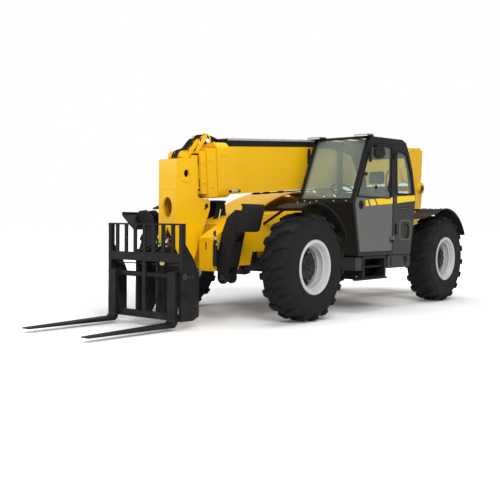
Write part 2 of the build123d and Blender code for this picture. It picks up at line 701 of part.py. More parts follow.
with BuildPart() as engine_bay:
    with BuildSketch(side_plane(-RAIL_Y)):
        Polygon((HOOD_X0, 600), (HOOD_X1 - 20, 600), (HOOD_X1 - 20, 1050), (HOOD_X0, 1050), align=None)
    extrude(amount=BAY_OUT_Y - RAIL_Y)
    with BuildSketch(side_plane(-RAIL_Y)):
        Polygon(
            (HOOD_X0 + 20, 620), (FRAME_JOIN_X - 10, 620), (FRAME_JOIN_X - 10, 1100),
            (HOOD_X0 + 20, 1100), align=None,
        )
    extrude(amount=BAY_OUT_Y - RAIL_Y - 20, mode=Mode.SUBTRACT)
    with BuildSketch(side_plane(-RAIL_Y)):
        Polygon((FRAME_JOIN_X - 20, 550), (300, 550), (300, 1100), (FRAME_JOIN_X - 20, 1100), align=None)
    extrude(amount=FRAME_Y - RAIL_Y, mode=Mode.SUBTRACT)
    with BuildSketch(Plane.XY.offset(550)):
        Polygon(*nose_corner(20), align=None)
    extrude(amount=600, mode=Mode.SUBTRACT)
engine_bay.part.label = "engine_bay"
export_step(engine_bay.part, "parts/engine_bay.step")

with BuildPart() as engine_block:
    with BuildSketch(Plane.XY.offset(620)):
        with Locations((-850, -730)):
            Rectangle(1150, 620)
    extrude(amount=700)
engine_block.part.label = "engine_block"
export_step(engine_block.part, "parts/engine_block.step")

# transfer box under the belly plate, with a shaft to each axle
TRANSFER_X0, TRANSFER_X1 = -700, -300
TRANSFER_LOW = 600
BELLY_Z = 720
SHAFT_LINE_R = 28
with BuildPart() as drive_line:
    with BuildSketch(Plane.XZ):
        Polygon(
            (TRANSFER_X0, BELLY_Z), (TRANSFER_X1, BELLY_Z), (TRANSFER_X1, TRANSFER_LOW + 40),
            (TRANSFER_X1 - 60, TRANSFER_LOW), (TRANSFER_X0 + 60, TRANSFER_LOW),
            (TRANSFER_X0, TRANSFER_LOW + 40),
            align=None,
        )
    extrude(amount=150, both=True)
    for start, end in ((TRANSFER_X1, FRONT_AXLE_X - NOSE_REACH), (TRANSFER_X0, REAR_AXLE_X + NOSE_REACH)):
        with BuildSketch(across_plane(start)):
            with Locations((0, AXLE_Z - 8)):
                Circle(SHAFT_LINE_R)
        extrude(amount=end - start)
drive_line.part.label = "drive_line"
export_step(drive_line.part, "parts/drive_line.step")

# ---------------------------------------------------------------- boom
# name, half width, bottom and top from the centre line, wall, rear end, collar's back and front, collar's
# half width, bottom and top
SECTIONS = (
    ("outer", 200, -305, 305, 12, -190, 5134, 5370, 215, -345, 360),
    ("second", 176, -282, 262, 10, 330, 5374, 5540, 198, -330, 285),
    ("third", 153, -252, 232, 10, 390, 5544, 5640, 176, -282, 250),
    ("fly", 128, -220, 200, 10, 450, 0, 5760, 0, 0, 0),
)


def rectangle_across(half_width, bottom, top):
    """Sketch rectangle in the current boom cross plane."""
    with Locations((0, (bottom + top) / 2)):
        Rectangle(2 * half_width, top - bottom)


HOOP_R, HOOP_RISE, HOOP_ROD = 85, 30, 9
# outer section: tube, front collar with a rounded top, tail plates down to the rear pin
name, half, low, high, wall, back, collar_back, collar_front, c_half, c_low, c_high = SECTIONS[0]
with BuildPart() as boom_outer:
    with BuildSketch(boom_section_plane(back)):
        rectangle_across(half, low, high)
    extrude(amount=collar_front - back)
    with BuildSketch(boom_section_plane(collar_back)) as collar:
        rectangle_across(c_half, c_low, c_high)
        fillet(collar.vertices().group_by(Axis.Z)[-1], 100)
    extrude(amount=collar_front - collar_back)
    with BuildSketch(boom_section_plane(back - 100)):
        rectangle_across(half - wall, low + wall, high - wall)
    extrude(amount=collar_front - back + 200, mode=Mode.SUBTRACT)
    for y0, y1 in ((200, 240), (-240, -200)):
        with BuildSketch(side_plane(y1)):
            Polygon(
                (PIVOT_X - 170, 2560), (PIVOT_X - 150, 2100), (PIVOT_X - 90, PIVOT_Z),
                (PIVOT_X + 90, PIVOT_Z), (PIVOT_X + 520, 2000), (PIVOT_X + 620, 2200),
                (PIVOT_X + 300, 2540), align=None,
            )
            with Locations((PIVOT_X, PIVOT_Z)):
                Circle(120)
        extrude(amount=y1 - y0)
    with BuildSketch(Plane.XZ):
        with Locations((PIVOT_X, PIVOT_Z)):
            Circle(50)
    extrude(amount=RAIL_Y + 40, both=True)
    # ears for the lift cylinder's rod
    for y1 in (80, -50):
        with BuildSketch(side_plane(y1)):
            Polygon(
                (LIFT_EYE_X - 200, 1800), (LIFT_EYE_X - 60, 1610), (LIFT_EYE_X + 60, 1610),
                (LIFT_EYE_X + 200, 1775), align=None,
            )
        extrude(amount=30)
    # hoop that holds the hoses down over the collar
    hoop_plane = boom_section_plane(collar_front - 24)
    with BuildLine(hoop_plane) as hoop_line:
        foot = Line((-HOOP_R, c_high - 6), (-HOOP_R, c_high + HOOP_RISE))
        bow = ThreePointArc(foot @ 1, (0, c_high + HOOP_RISE + HOOP_R), (HOOP_R, c_high + HOOP_RISE))
        Line(bow @ 1, (HOOP_R, c_high - 6))
    with BuildSketch(Plane(origin=hoop_line.line @ 0, z_dir=hoop_line.line % 0)):
        Circle(HOOP_ROD)
    sweep()
boom_outer.part.label = "boom_outer"
export_step(boom_outer.part, "parts/boom_outer.step")

# hose arms that lean back over the collars: section, distance each side, along and above the centre line
# at the foot and at the tip, radius of the tip's roller
HOSE_ARMS = {"third": (92, (5612, 240), (5455, 425), 30)}
ARM_T = 14
for name, half, low, high, wall, back, collar_back, collar_front, c_half, c_low, c_high in SECTIONS[1:3]:
    with BuildPart() as section:
        with BuildSketch(boom_section_plane(back)):
            rectangle_across(half, low, high)
        extrude(amount=collar_front - back)
        with BuildSketch(boom_section_plane(collar_back)):
            rectangle_across(c_half, c_low, c_high)
        extrude(amount=collar_front - collar_back)
        with BuildSketch(boom_section_plane(back - 100)):
            rectangle_across(half - wall, low + wall, high - wall)
        extrude(amount=collar_front - back + 200, mode=Mode.SUBTRACT)
        if name in HOSE_ARMS:
            arm_y, (foot_a, foot_up), (tip_a, tip_up), roller_r = HOSE_ARMS[name]
            for y1 in (arm_y + ARM_T, -arm_y):
                with BuildSketch(side_plane(y1)):
                    Polygon(
                        boom_point(foot_a + 40, foot_up), boom_point(foot_a - 14, foot_up),
                        boom_point(tip_a - 22, tip_up - 18), boom_point(tip_a + 22, tip_up + 18),
                        align=None,
                    )
                    with Locations(boom_point(tip_a, tip_up)):
                        Circle(roller_r)
                extrude(amount=ARM_T)
            with BuildSketch(side_plane(arm_y)):
                with Locations(boom_point(tip_a, tip_up)):
                    Circle(roller_r - 8)
            extrude(amount=2 * arm_y)
    section.part.label = f"boom_{name}"
    export_step(section.part, f"parts/boom_{name}.step")

# fly section with its drop head
CARRIAGE_X, CARRIAGE_Z = 2187, 600
TILT_BASE = (1762, 1438)
TILT_EYE = (2387, 920)
HEAD_FRONT_X = 2297
HEAD_Y, HEAD_PLATE = 150, 22
HEAD_HOLE = (2127, 1824)
HEAD_RING = 8
GUIDE_X, GUIDE_Z, GUIDE_R, GUIDE_Y = 2105, 2040, 60, 118
HEAD_ARM_Y = 55
HEAD = (
    (1937, 2035), (HEAD_FRONT_X, 1993), (HEAD_FRONT_X, 760), (2262, 640), (2262, 560), (2120, 540),
    (1979, 764), (1700, 1380), (1690, 1500), (1730, 1523), (1890, 1530), (1915, 1555),
)
name, half, low, high, wall, back, collar_back, collar_front, c_half, c_low, c_high = SECTIONS[3]
with BuildPart() as boom_fly:
    with BuildSketch(boom_section_plane(back)):
        rectangle_across(half, low, high)
        rectangle_across(half - wall, low + wall, high - wall)
    extrude(amount=collar_front - back)
    with BuildSketch(boom_section_plane(back - 100)):
        rectangle_across(half - wall, low + wall, high - wall)
    extrude(amount=collar_front - back + 200, mode=Mode.SUBTRACT)
    for y1 in (HEAD_Y, -HEAD_Y + HEAD_PLATE):
        with BuildSketch(side_plane(y1)):
            Polygon(*HEAD, align=None)
            with Locations((CARRIAGE_X, CARRIAGE_Z)):
                Circle(90)
            with Locations((CARRIAGE_X, CARRIAGE_Z)):
                Circle(40.05, mode=Mode.SUBTRACT)
            with Locations(HEAD_HOLE):
                Circle(48, mode=Mode.SUBTRACT)
        extrude(amount=HEAD_PLATE)
    # raised ring round the hole in each side
    for y1 in (HEAD_Y + HEAD_RING, -HEAD_Y):
        with BuildSketch(side_plane(y1)):
            with Locations(HEAD_HOLE):
                Circle(112)
                Circle(48, mode=Mode.SUBTRACT)
        extrude(amount=HEAD_RING)
    # front plate with an oval hole, open low down, and the top plate
    with BuildSketch(across_plane(HEAD_FRONT_X - 25)):
        Polygon((-HEAD_Y, 1993), (HEAD_Y, 1993), (HEAD_Y, 900), (0, 1170), (-HEAD_Y, 900), align=None)
        with Locations((0, 1410)):
            Ellipse(78, 120, mode=Mode.SUBTRACT)
    extrude(amount=25)
    with BuildSketch(side_plane(HEAD_Y)):
        Polygon((1937, 2035), (HEAD_FRONT_X, 1993), (HEAD_FRONT_X, 1970), (1937, 2012), align=None)
    extrude(amount=2 * HEAD_Y)
    with BuildSketch(side_plane(HEAD_Y)):
        with Locations(TILT_BASE):
            Circle(25)
    extrude(amount=2 * HEAD_Y)
    # rounded hose guide on the head's top, and two arms that lean back from it
    with BuildSketch(side_plane(GUIDE_Y)):
        with Locations((GUIDE_X, GUIDE_Z)):
            Circle(GUIDE_R)
    extrude(amount=2 * GUIDE_Y)
    for y1 in (HEAD_ARM_Y + ARM_T, -HEAD_ARM_Y):
        with BuildSketch(side_plane(y1)):
            Polygon((2090, 2015), (2005, 2018), (1815, 2232), (1858, 2262), align=None)
            with Locations((1838, 2246)):
                Circle(27)
        extrude(amount=ARM_T)
    with BuildSketch(side_plane(HEAD_ARM_Y)):
        with Locations((1838, 2246)):
            Circle(20)
    extrude(amount=2 * HEAD_ARM_Y)
boom_fly.part.label = "boom_fly"
export_step(boom_fly.part, "parts/boom_fly.step")

TRAY_BACK, TRAY_FRONT = 2600, 5080  # along the boom
with BuildPart() as hose_tray:
    with BuildSketch(boom_section_plane(TRAY_BACK)):
        rectangle_across(150, 305, 410)
    extrude(amount=TRAY_FRONT - TRAY_BACK)
hose_tray.part.label = "hose_tray"
export_step(hose_tray.part, "parts/hose_tray.step")

# ---------------------------------------------------------------- fork carriage
FACE_X = 2682  # front of the carriage frame
HALF_CARRIAGE = 630
FORK_Y, FORK_W = 505, 125
SHAFT_X, SHAFT_Z, SHAFT_R = 2640, 610, 33
with BuildPart() as carriage_frame:
    # outer posts, crossbar, bottom bar, top rail, inner bars and centre upright
    for y, width, z0, z1, depth in (
        (-HALF_CARRIAGE + 27, 54, 100, 1215, 55),
        (HALF_CARRIAGE - 27, 54, 100, 1215, 55),
        (0, 2 * HALF_CARRIAGE, 770, 870, 55),
        (0, 2 * HALF_CARRIAGE, 100, 180, 55),
        (0, 2 * HALF_CARRIAGE, 1195, 1215, 20),
        (0, 60, 170, 780, 40),
        *((157.5 * k, 50, 860, 1200, 20) for k in range(-3, 4)),
    ):
        with BuildSketch(across_plane(FACE_X - depth)):
            with Locations((y, (z0 + z1) / 2)):
                Rectangle(width, z1 - z0)
        extrude(amount=depth)
    # side plates, which flare down and back
    for y1 in (HALF_CARRIAGE, -HALF_CARRIAGE + 25):
        with BuildSketch(side_plane(y1)):
            Polygon(
                (FACE_X - 10, 980), (FACE_X - 55, 980), (2500, 820), (2400, 640), (2400, 140),
                (2500, 100), (FACE_X - 10, 100), align=None,
            )
        extrude(amount=25)
    # fork shaft
    with BuildSketch(side_plane(HALF_CARRIAGE - 10)):
        with Locations((SHAFT_X, SHAFT_Z)):
            Circle(SHAFT_R)
    extrude(amount=2 * HALF_CARRIAGE - 20)
    # plates back to the head's pin, and ears for the tilt rod
    for y1 in (185, -160):
        with BuildSketch(side_plane(y1)):
            Polygon(
                (CARRIAGE_X - 40, 520), (CARRIAGE_X - 60, 660), (2387, 960), (2640, 870),
                (2640, 110), (2400, 120), align=None,
            )
            with Locations((CARRIAGE_X, CARRIAGE_Z)):
                Circle(85)
        extrude(amount=25)
    for y1 in (75, -50):
        with BuildSketch(side_plane(y1)):
            Polygon((2387, 865), (2387, 975), (2640, 870), (2640, 780), align=None)
            with Locations(TILT_EYE):
                Circle(55)
        extrude(amount=25)
    with BuildSketch(side_plane(185)):
        with Locations((CARRIAGE_X, CARRIAGE_Z)):
            Circle(40)
    extrude(amount=370)
carriage_frame.part.label = "carriage_frame"
export_step(carriage_frame.part, "parts/carriage_frame.step")

FORK_T = 50
with BuildPart() as forks:
    for y in (-FORK_Y, FORK_Y):
        with BuildSketch(side_plane(y + FORK_W / 2)):
            with BuildLine():
                shank = Polyline(
                    (FACE_X, 110), (FACE_X, 660), (FACE_X + FORK_T, 660), (FACE_X + FORK_T, 130),
                )
                heel = ThreePointArc(shank @ 1, (FACE_X + 65, 97), (FACE_X + 100, 84))
                blade = Polyline(heel @ 1, (HALF_LENGTH, 57), (HALF_LENGTH, 45), (FACE_X + 90, 34))
                ThreePointArc(blade @ 1, (FACE_X + 24, 54), shank @ 0)
            make_face()
            # eye round the carriage's fork shaft
            with Locations((SHAFT_X, SHAFT_Z)):
                Circle(58)
            with Locations((SHAFT_X + 50, SHAFT_Z)):
                Rectangle(60, 100)
            with Locations((SHAFT_X, SHAFT_Z)):
                Circle(SHAFT_R + 0.05, mode=Mode.SUBTRACT)
        extrude(amount=FORK_W)
forks.part.label = "forks"
export_step(forks.part, "parts/forks.step")

# ---------------------------------------------------------------- cylinders


LEG_MID_X = (LEG_X0 + LEG_X1) / 2
# name, base, eye, pin's direction, barrel and rod radius, base eye radius and width, rod eye
# radius and width, base bore, barrel's end to the rod's eye, rod's inner end past the base's eye
CYLINDERS = [
    (
        "lift", Vector(LIFT_BASE_X, 0, LIFT_BASE_Z), Vector(LIFT_EYE_X, 0, LIFT_EYE_Z), Vector(0, 1, 0),
        90, 50, 75, 170, 60, 80, 40.05, 35, 46,
    ),
    (
        "tilt", Vector(TILT_BASE[0], 0, TILT_BASE[1]), Vector(TILT_EYE[0], 0, TILT_EYE[1]),
        Vector(0, 1, 0),
        48, 27, 45, 90, 42, 80, 25.05, 110, 130,
    ),
]
for side_name, side in SIDES:
    CYLINDERS.append((
        f"stabilizer_{side_name}", Vector(LEG_MID_X, side * CYL_BASE[0], CYL_BASE[1]),
        Vector(LEG_MID_X, side * LEG_EYE[0], LEG_EYE[1]), Vector(1, 0, 0),
        40, 24, 40, 80, 38, 80, 20.05, 55, 66,
    ))
BARREL_FLOOR = 25  # bore's floor past the base's eye
for name, base, eye, pin, barrel_r, rod_r, *eyes, barrel_gap, rod_start in CYLINDERS:
    base_r, base_w, eye_r, eye_w, bore = eyes
    run = (eye - base).normalized()
    length = (eye - base).length
    barrel_end = length - eye_r - barrel_gap
    with BuildPart() as barrel:
        with BuildSketch(Plane(origin=base, z_dir=pin)):
            Circle(base_r)
        extrude(amount=base_w / 2, both=True)
        with BuildSketch(Plane(origin=base + run * (base_r - 8), z_dir=run)):
            Circle(barrel_r)
        extrude(amount=barrel_end - base_r + 8)
        # the gland at the barrel's mouth
        with BuildSketch(Plane(origin=base + run * barrel_end, z_dir=-run)):
            Circle(barrel_r + 6)
        extrude(amount=45)
        with BuildSketch(Plane(origin=base + run * (base_r + BARREL_FLOOR), z_dir=run)):
            Circle(rod_r + 0.05)
        extrude(amount=barrel_end, mode=Mode.SUBTRACT)
        with BuildSketch(Plane(origin=base, z_dir=pin)):
            Circle(bore)
        extrude(amount=base_w, both=True, mode=Mode.SUBTRACT)
    barrel.part.label = f"{name}_barrel"
    export_step(barrel.part, f"parts/{name}_barrel.step")
    with BuildPart() as rod:
        with BuildSketch(Plane(origin=eye, z_dir=pin)):
            Circle(eye_r)
        extrude(amount=eye_w / 2, both=True)
        with BuildSketch(Plane(origin=eye - run * (eye_r - 6), z_dir=-run)):
            Circle(rod_r)
        extrude(amount=length - eye_r + 6 - base_r - rod_start)
        with BuildSketch(Plane(origin=eye, z_dir=pin)):
            Circle(eye_r * 0.55)
        extrude(amount=eye_w, both=True, mode=Mode.SUBTRACT)
    rod.part.label = f"{name}_rod"
    export_step(rod.part, f"parts/{name}_rod.step")

# ---------------------------------------------------------------- stabilizers
LEG_PLATE = 20
LEG_WEB = 15
# Y, Z up the leg's outer face, then down its inner edge
LEG_OUTER = ((650, 600), (682, 723), (750, 1005), (775, 1100), (783, 1156), (910, 1262))
LEG_INNER = ((905, 1372), (770, 1385), (640, 1290), (560, 1110), (505, 880), (492, 600))
WEB_LOW = (670, 690)  # the web's lower end on the outer face
PAD_SOLE = 120  # pad's sole from its pin
PAD_BACK, PAD_FRONT = -160, 245  # along the machine, from the leg's middle
PAD_HALF = 150  # half its height when stowed
PAD_TURN = {"left": -16, "right": -50}  # degrees that the sole faces below straight out
for side_name, side in SIDES:
    with BuildPart() as leg:
        for x in (LEG_X0, LEG_X1 - LEG_PLATE):
            with BuildSketch(across_plane(x)):
                Polygon(*((side * y, z) for y, z in LEG_OUTER + LEG_INNER), align=None)
                for (y, z), radius in ((LEG_PIVOT, 82), (PAD_PIN, 62)):
                    with Locations((side * y, z)):
                        Circle(radius)
                with Locations((side * LEG_PIVOT[0], LEG_PIVOT[1])):
                    Circle(30.05, mode=Mode.SUBTRACT)
            extrude(amount=LEG_PLATE)
        # web down the outer face, and the pad's pin
        with BuildSketch(across_plane(LEG_X0)):
            Polygon(
                *((side * y, z) for y, z in (WEB_LOW, *LEG_OUTER[1:3])),
                *((side * (y - LEG_WEB), z) for y, z in (*LEG_OUTER[2:0:-1], WEB_LOW)),
                align=None,
            )
            with Locations((side * PAD_PIN[0], PAD_PIN[1])):
                Circle(22)
        extrude(amount=LEG_X1 - LEG_X0)
    leg.part.label = f"stabilizer_leg_{side_name}"
    export_step(leg.part, f"parts/stabilizer_leg_{side_name}.step")

    turn = radians(PAD_TURN[side_name])
    out = Vector(0, side * cos(turn), sin(turn))
    # pad plane: sketch X from the pin to the sole, sketch Y across the sole, normal along the machine
    pad_plane = Plane(origin=(LEG_MID_X, side * PAD_PIN[0], PAD_PIN[1]), x_dir=out, z_dir=(1, 0, 0))
    with BuildPart() as pad:
        with BuildSketch(pad_plane.offset(PAD_BACK)):
            Polygon(
                (PAD_SOLE - 18, -PAD_HALF + 12), (PAD_SOLE - 46, -PAD_HALF - 12),
                (PAD_SOLE - 34, -PAD_HALF - 22), (PAD_SOLE, -PAD_HALF + 6),
                (PAD_SOLE, PAD_HALF - 6), (PAD_SOLE - 34, PAD_HALF + 22),
                (PAD_SOLE - 46, PAD_HALF + 12), (PAD_SOLE - 18, PAD_HALF - 12), align=None,
            )
        extrude(amount=PAD_FRONT - PAD_BACK)
        for x in (-62, 42):
            with BuildSketch(pad_plane.offset(x)):
                Polygon((0, -45), (PAD_SOLE - 10, -90), (PAD_SOLE - 10, 90), (0, 45), align=None)
                Circle(45)
                Circle(22.05, mode=Mode.SUBTRACT)
            extrude(amount=20)
    pad.part.label = f"stabilizer_pad_{side_name}"
    export_step(pad.part, f"parts/stabilizer_pad_{side_name}.step")

# ---------------------------------------------------------------- lamps and mirrors
ROOF_FRONT = (-430, 2445)
ROOF_RISE = (2470 - 2445) / (1318 - 430)  # the roof climbs this much per millimetre towards the rear
LAMP_W, LAMP_H, LAMP_D = 130, 76, 62
BRACKET_BACK, BRACKET_REACH = 150, 96
with BuildPart() as lamps:
    for y in (CAB_IN_Y + 70, CAB_OUT_Y - 70):
        # bracket on the roof's front edge, with the lamp over its tip
        roof_x, roof_z = ROOF_FRONT
        with BuildSketch(side_plane(y + 45)):
            Polygon(
                (roof_x - BRACKET_BACK, roof_z + BRACKET_BACK * ROOF_RISE),
                (roof_x, roof_z),
                (roof_x + BRACKET_REACH, roof_z),
                (roof_x + BRACKET_REACH, roof_z + 10),
                (roof_x - BRACKET_BACK, roof_z + 10 + BRACKET_BACK * ROOF_RISE),
                align=None,
            )
        extrude(amount=90)
        with BuildSketch(across_plane(roof_x + BRACKET_REACH - 4 - LAMP_D)):
            with Locations((y, roof_z + 10 + LAMP_H / 2)):
                RectangleRounded(LAMP_W, LAMP_H, 14)
        extrude(amount=LAMP_D)
    # tail lamps on the counterweight's shoulders
    for side_name, side in SIDES:
        with BuildSketch(across_plane(TAIL_X)):
            with Locations((side * 690, TAIL_Z)):
                RectangleRounded(190, 84, 16)
        extrude(amount=TAIL_D)
lamps.part.label = "lamps"
export_step(lamps.part, "parts/lamps.step")

# a rear-view mirror on an arm from each front pillar
MIRROR_Z = 2215
PILLAR_X = -330
with BuildPart() as mirrors:
    for y_start, side in ((CAB_OUT_Y, 1), (CAB_IN_Y, -1)):
        with BuildSketch(side_plane(y_start)):
            with Locations((PILLAR_X, MIRROR_Z)):
                Circle(11)
        extrude(amount=-side * 46)
        with BuildSketch(across_plane(PILLAR_X - 14)):
            with Locations((y_start + side * 52, MIRROR_Z - 20)):
                RectangleRounded(30, 230, 12)
        extrude(amount=28)
mirrors.part.label = "mirrors"
export_step(mirrors.part, "parts/mirrors.step")
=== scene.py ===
"""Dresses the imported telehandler: finishes, added parts, camera, light and floor."""

from __future__ import annotations

import json
import logging
import math
from collections.abc import Callable, Iterable, Sequence
from dataclasses import dataclass
from enum import Enum

import bmesh
import bpy
from mathutils import Matrix, Vector

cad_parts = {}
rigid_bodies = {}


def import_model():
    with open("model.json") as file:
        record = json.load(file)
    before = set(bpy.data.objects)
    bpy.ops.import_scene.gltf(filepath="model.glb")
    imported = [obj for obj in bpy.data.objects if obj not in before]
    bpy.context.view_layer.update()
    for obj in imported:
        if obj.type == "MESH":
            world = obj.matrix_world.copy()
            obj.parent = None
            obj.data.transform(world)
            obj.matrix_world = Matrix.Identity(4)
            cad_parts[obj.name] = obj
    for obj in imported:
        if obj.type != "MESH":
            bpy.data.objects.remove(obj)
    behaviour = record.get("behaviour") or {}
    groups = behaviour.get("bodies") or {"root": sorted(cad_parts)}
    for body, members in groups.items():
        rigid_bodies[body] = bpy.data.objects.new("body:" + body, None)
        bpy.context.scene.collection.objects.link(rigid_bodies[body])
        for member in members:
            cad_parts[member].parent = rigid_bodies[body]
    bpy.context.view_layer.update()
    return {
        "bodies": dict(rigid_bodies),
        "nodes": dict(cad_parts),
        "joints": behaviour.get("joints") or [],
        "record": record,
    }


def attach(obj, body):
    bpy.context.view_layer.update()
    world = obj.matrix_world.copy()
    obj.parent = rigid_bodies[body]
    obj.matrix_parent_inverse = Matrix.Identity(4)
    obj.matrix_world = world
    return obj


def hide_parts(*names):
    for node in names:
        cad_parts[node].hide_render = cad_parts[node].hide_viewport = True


LOG = logging.getLogger("telehandler")
Piece = bpy.types.Object
Material = bpy.types.Material
Point = Sequence[float]
Pair = tuple[float, float]
Colour = tuple[float, float, float]
ORIGIN = (0.0, 0.0, 0.0)
UP = (0.0, 0.0, 1.0)


class Slot(Enum):
    """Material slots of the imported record."""

    YELLOW = "paint_yellow"
    BLACK = "steel_black"
    CHARCOAL = "cab_charcoal"
    GREY = "cab_grey"
    RIM = "rim_grey"
    TYRE = "tyre"
    CHROME = "chrome_rod"
    GLASS = "glass"
    FABRIC = "seat_fabric"
    PLASTIC = "plastic_black"
    IRON = "iron"


# --- shader maths -----------------------------------------------------------


class Wire:
    """One value in a material's graph; arithmetic on it adds Math nodes."""

    def __init__(self, graph: Graph, socket: bpy.types.NodeSocket) -> None:
        """Keeps the graph and the output socket that carries the value."""
        self.graph = graph
        self.socket = socket

    def _math(self, operation: str, first: Wire | float, second: Wire | float) -> Wire:
        """Adds one Math node of that operation and hands back its result."""
        return self.graph.node("ShaderNodeMath", {"operation": operation}, {0: first, 1: second})

    def __add__(self, other: Wire | float) -> Wire:
        """Sum."""
        return self._math("ADD", self, other)

    __radd__ = __add__

    def __rsub__(self, other: Wire | float) -> Wire:
        """What is left of the other value when this one is taken off."""
        return self._math("SUBTRACT", other, self)

    def __mul__(self, other: Wire | float) -> Wire:
        """Product."""
        return self._math("MULTIPLY", self, other)

    __rmul__ = __mul__

    def clamp(self, low: float, high: float) -> Wire:
        """Maps low..high to 0..1 and holds it there."""
        limits = {0: self, 1: low, 2: high, 3: 0.0, 4: 1.0}
        return self.graph.node("ShaderNodeMapRange", {"clamp": True}, limits)


class Graph:
    """A new material and the nodes that make it."""

    def __init__(self, name: str) -> None:
        """Starts an empty material.

        Args:
            name: The material's name.
        """
        self.material = bpy.data.materials.new(name)
        self.material.use_nodes = True
        self.tree = self.material.node_tree
        self.tree.nodes.clear()

    def node(
        self,
        kind: str,
        settings: dict[str, object] | None = None,
        inputs: dict[int | str, object] | None = None,
        output: int | str = 0,
    ) -> Wire:
        """Adds any node.

        Args:
            kind: The node's type.
            settings: Properties set first.
            inputs: Values or wires by socket index or name.
            output: Which output to hand back.

        Returns:
            That output.
        """
        made = self.tree.nodes.new(kind)
        for key, value in (settings or {}).items():
            setattr(made, key, value)
        for key, value in (inputs or {}).items():
            if isinstance(value, Wire):
                self.tree.links.new(value.socket, made.inputs[key])
            else:
                made.inputs[key].default_value = value
        return Wire(self, made.outputs[output])

    def place(self) -> Wire:
        """Object coordinates."""
        return self.node("ShaderNodeTexCoord", output="Object")

    def axis(self, name: str) -> Wire:
        """One object coordinate, by the name X, Y or Z."""
        return self.node("ShaderNodeSeparateXYZ", inputs={0: self.place()}, output=name)

    def noise(self, scale: float, detail: float = 3.0, stretch: Point = (1.0, 1.0, 1.0)) -> Wire:
        """A noise pattern in object space, around 0.5, by waves per metre, octaves and scale of each axis."""
        place = self.node("ShaderNodeMapping", inputs={"Vector": self.place(), "Scale": stretch})
        return self.node("ShaderNodeTexNoise", inputs={"Vector": place, "Scale": scale, "Detail": detail})

    def wave(self, axis: str, scale: float) -> Wire:
        """Even bands along one axis, by its name and their scale."""
        inputs = {"Vector": self.place(), "Scale": scale}
        return self.node("ShaderNodeTexWave", {"bands_direction": axis}, inputs)

    def blend(self, mask: Wire | float, low: Wire | Colour, high: Wire | Colour) -> Wire:
        """Mixes two colours.

        Args:
            mask: 0 for the first, 1 for the second.
            low: First colour.
            high: Second colour.

        Returns:
            The mixed colour.
        """

        def rgba(value: Wire | Colour) -> Wire | tuple[float, ...]:
            """A colour with alpha, or the wire as it is."""
            return value if isinstance(value, Wire) else (*value, 1.0)

        inputs = {0: mask, 6: rgba(low), 7: rgba(high)}
        return self.node("ShaderNodeMix", {"data_type": "RGBA"}, inputs, output=2)

    def bump(self, height: Wire, strength: float, distance: float, normal: Wire | None = None) -> Wire:
        """A Bump node.

        Args:
            height: The relief.
            strength: How much of it counts.
            distance: Metres from 0 to 1.
            normal: A normal that it adds to.

        Returns:
            The bent normal.
        """
        inputs: dict[int | str, object] = {"Height": height, "Strength": strength, "Distance": distance}
        if normal is not None:
            inputs["Normal"] = normal
        return self.node("ShaderNodeBump", inputs=inputs)

    def round_edges(self, radius: float) -> Wire:
        """A normal that rounds sharp edges, by metres of rounding."""
        return self.node("ShaderNodeBevel", {"samples": 4}, {"Radius": radius})

    def edge_mask(self, rounded: Wire, low: float, high: float) -> Wire:
        """How near a point is to a sharp edge.

        Args:
            rounded: The normal from round_edges.
            low: Deviation where the mask starts.
            high: Deviation where it is full.

        Returns:
            0 on flats to 1 on edges.
        """
        flat = self.node("ShaderNodeNewGeometry", output="Normal")
        dot = self.node("ShaderNodeVectorMath", {"operation": "DOT_PRODUCT"}, {0: rounded, 1: flat}, "Value")
        return (1.0 - dot).clamp(low, high)

    def shader(self, inputs: dict[int | str, object]) -> Wire:
        """A Principled shader with those inputs."""
        return self.node("ShaderNodeBsdfPrincipled", inputs=inputs)

    def dress(self, base: Wire, rough: Wire | float, normal: Wire, more: dict[str, object]) -> Material:
        """The finished material, by its colour, roughness, normal and any more Principled inputs."""
        return self.close(self.shader({"Base Color": base, "Roughness": rough, "Normal": normal, **more}))

    def close(self, shader: Wire) -> Material:
        """Links the last shader to the output.

        Args:
            shader: That shader.

        Returns:
            The finished material.
        """
        end = self.tree.nodes.new("ShaderNodeOutputMaterial")
        self.tree.links.new(shader.socket, end.inputs["Surface"])
        return self.material


# --- finishes ---------------------------------------------------------------

CLOUD = (0.3, 0.7)  # the part of a noise pattern that clouds a colour
FILM = (0.35, 0.7)  # the same for a film of oil or dirt
PEEL_SCALE = 420.0  # waves per metre of sprayed paint's skin
PEEL_DEPTH = 0.0006


def toned(colour: Colour, factor: float, more: float = 0.0) -> Colour:
    """A colour times a factor, and a little more of it."""
    return tuple(factor * part + more for part in colour)


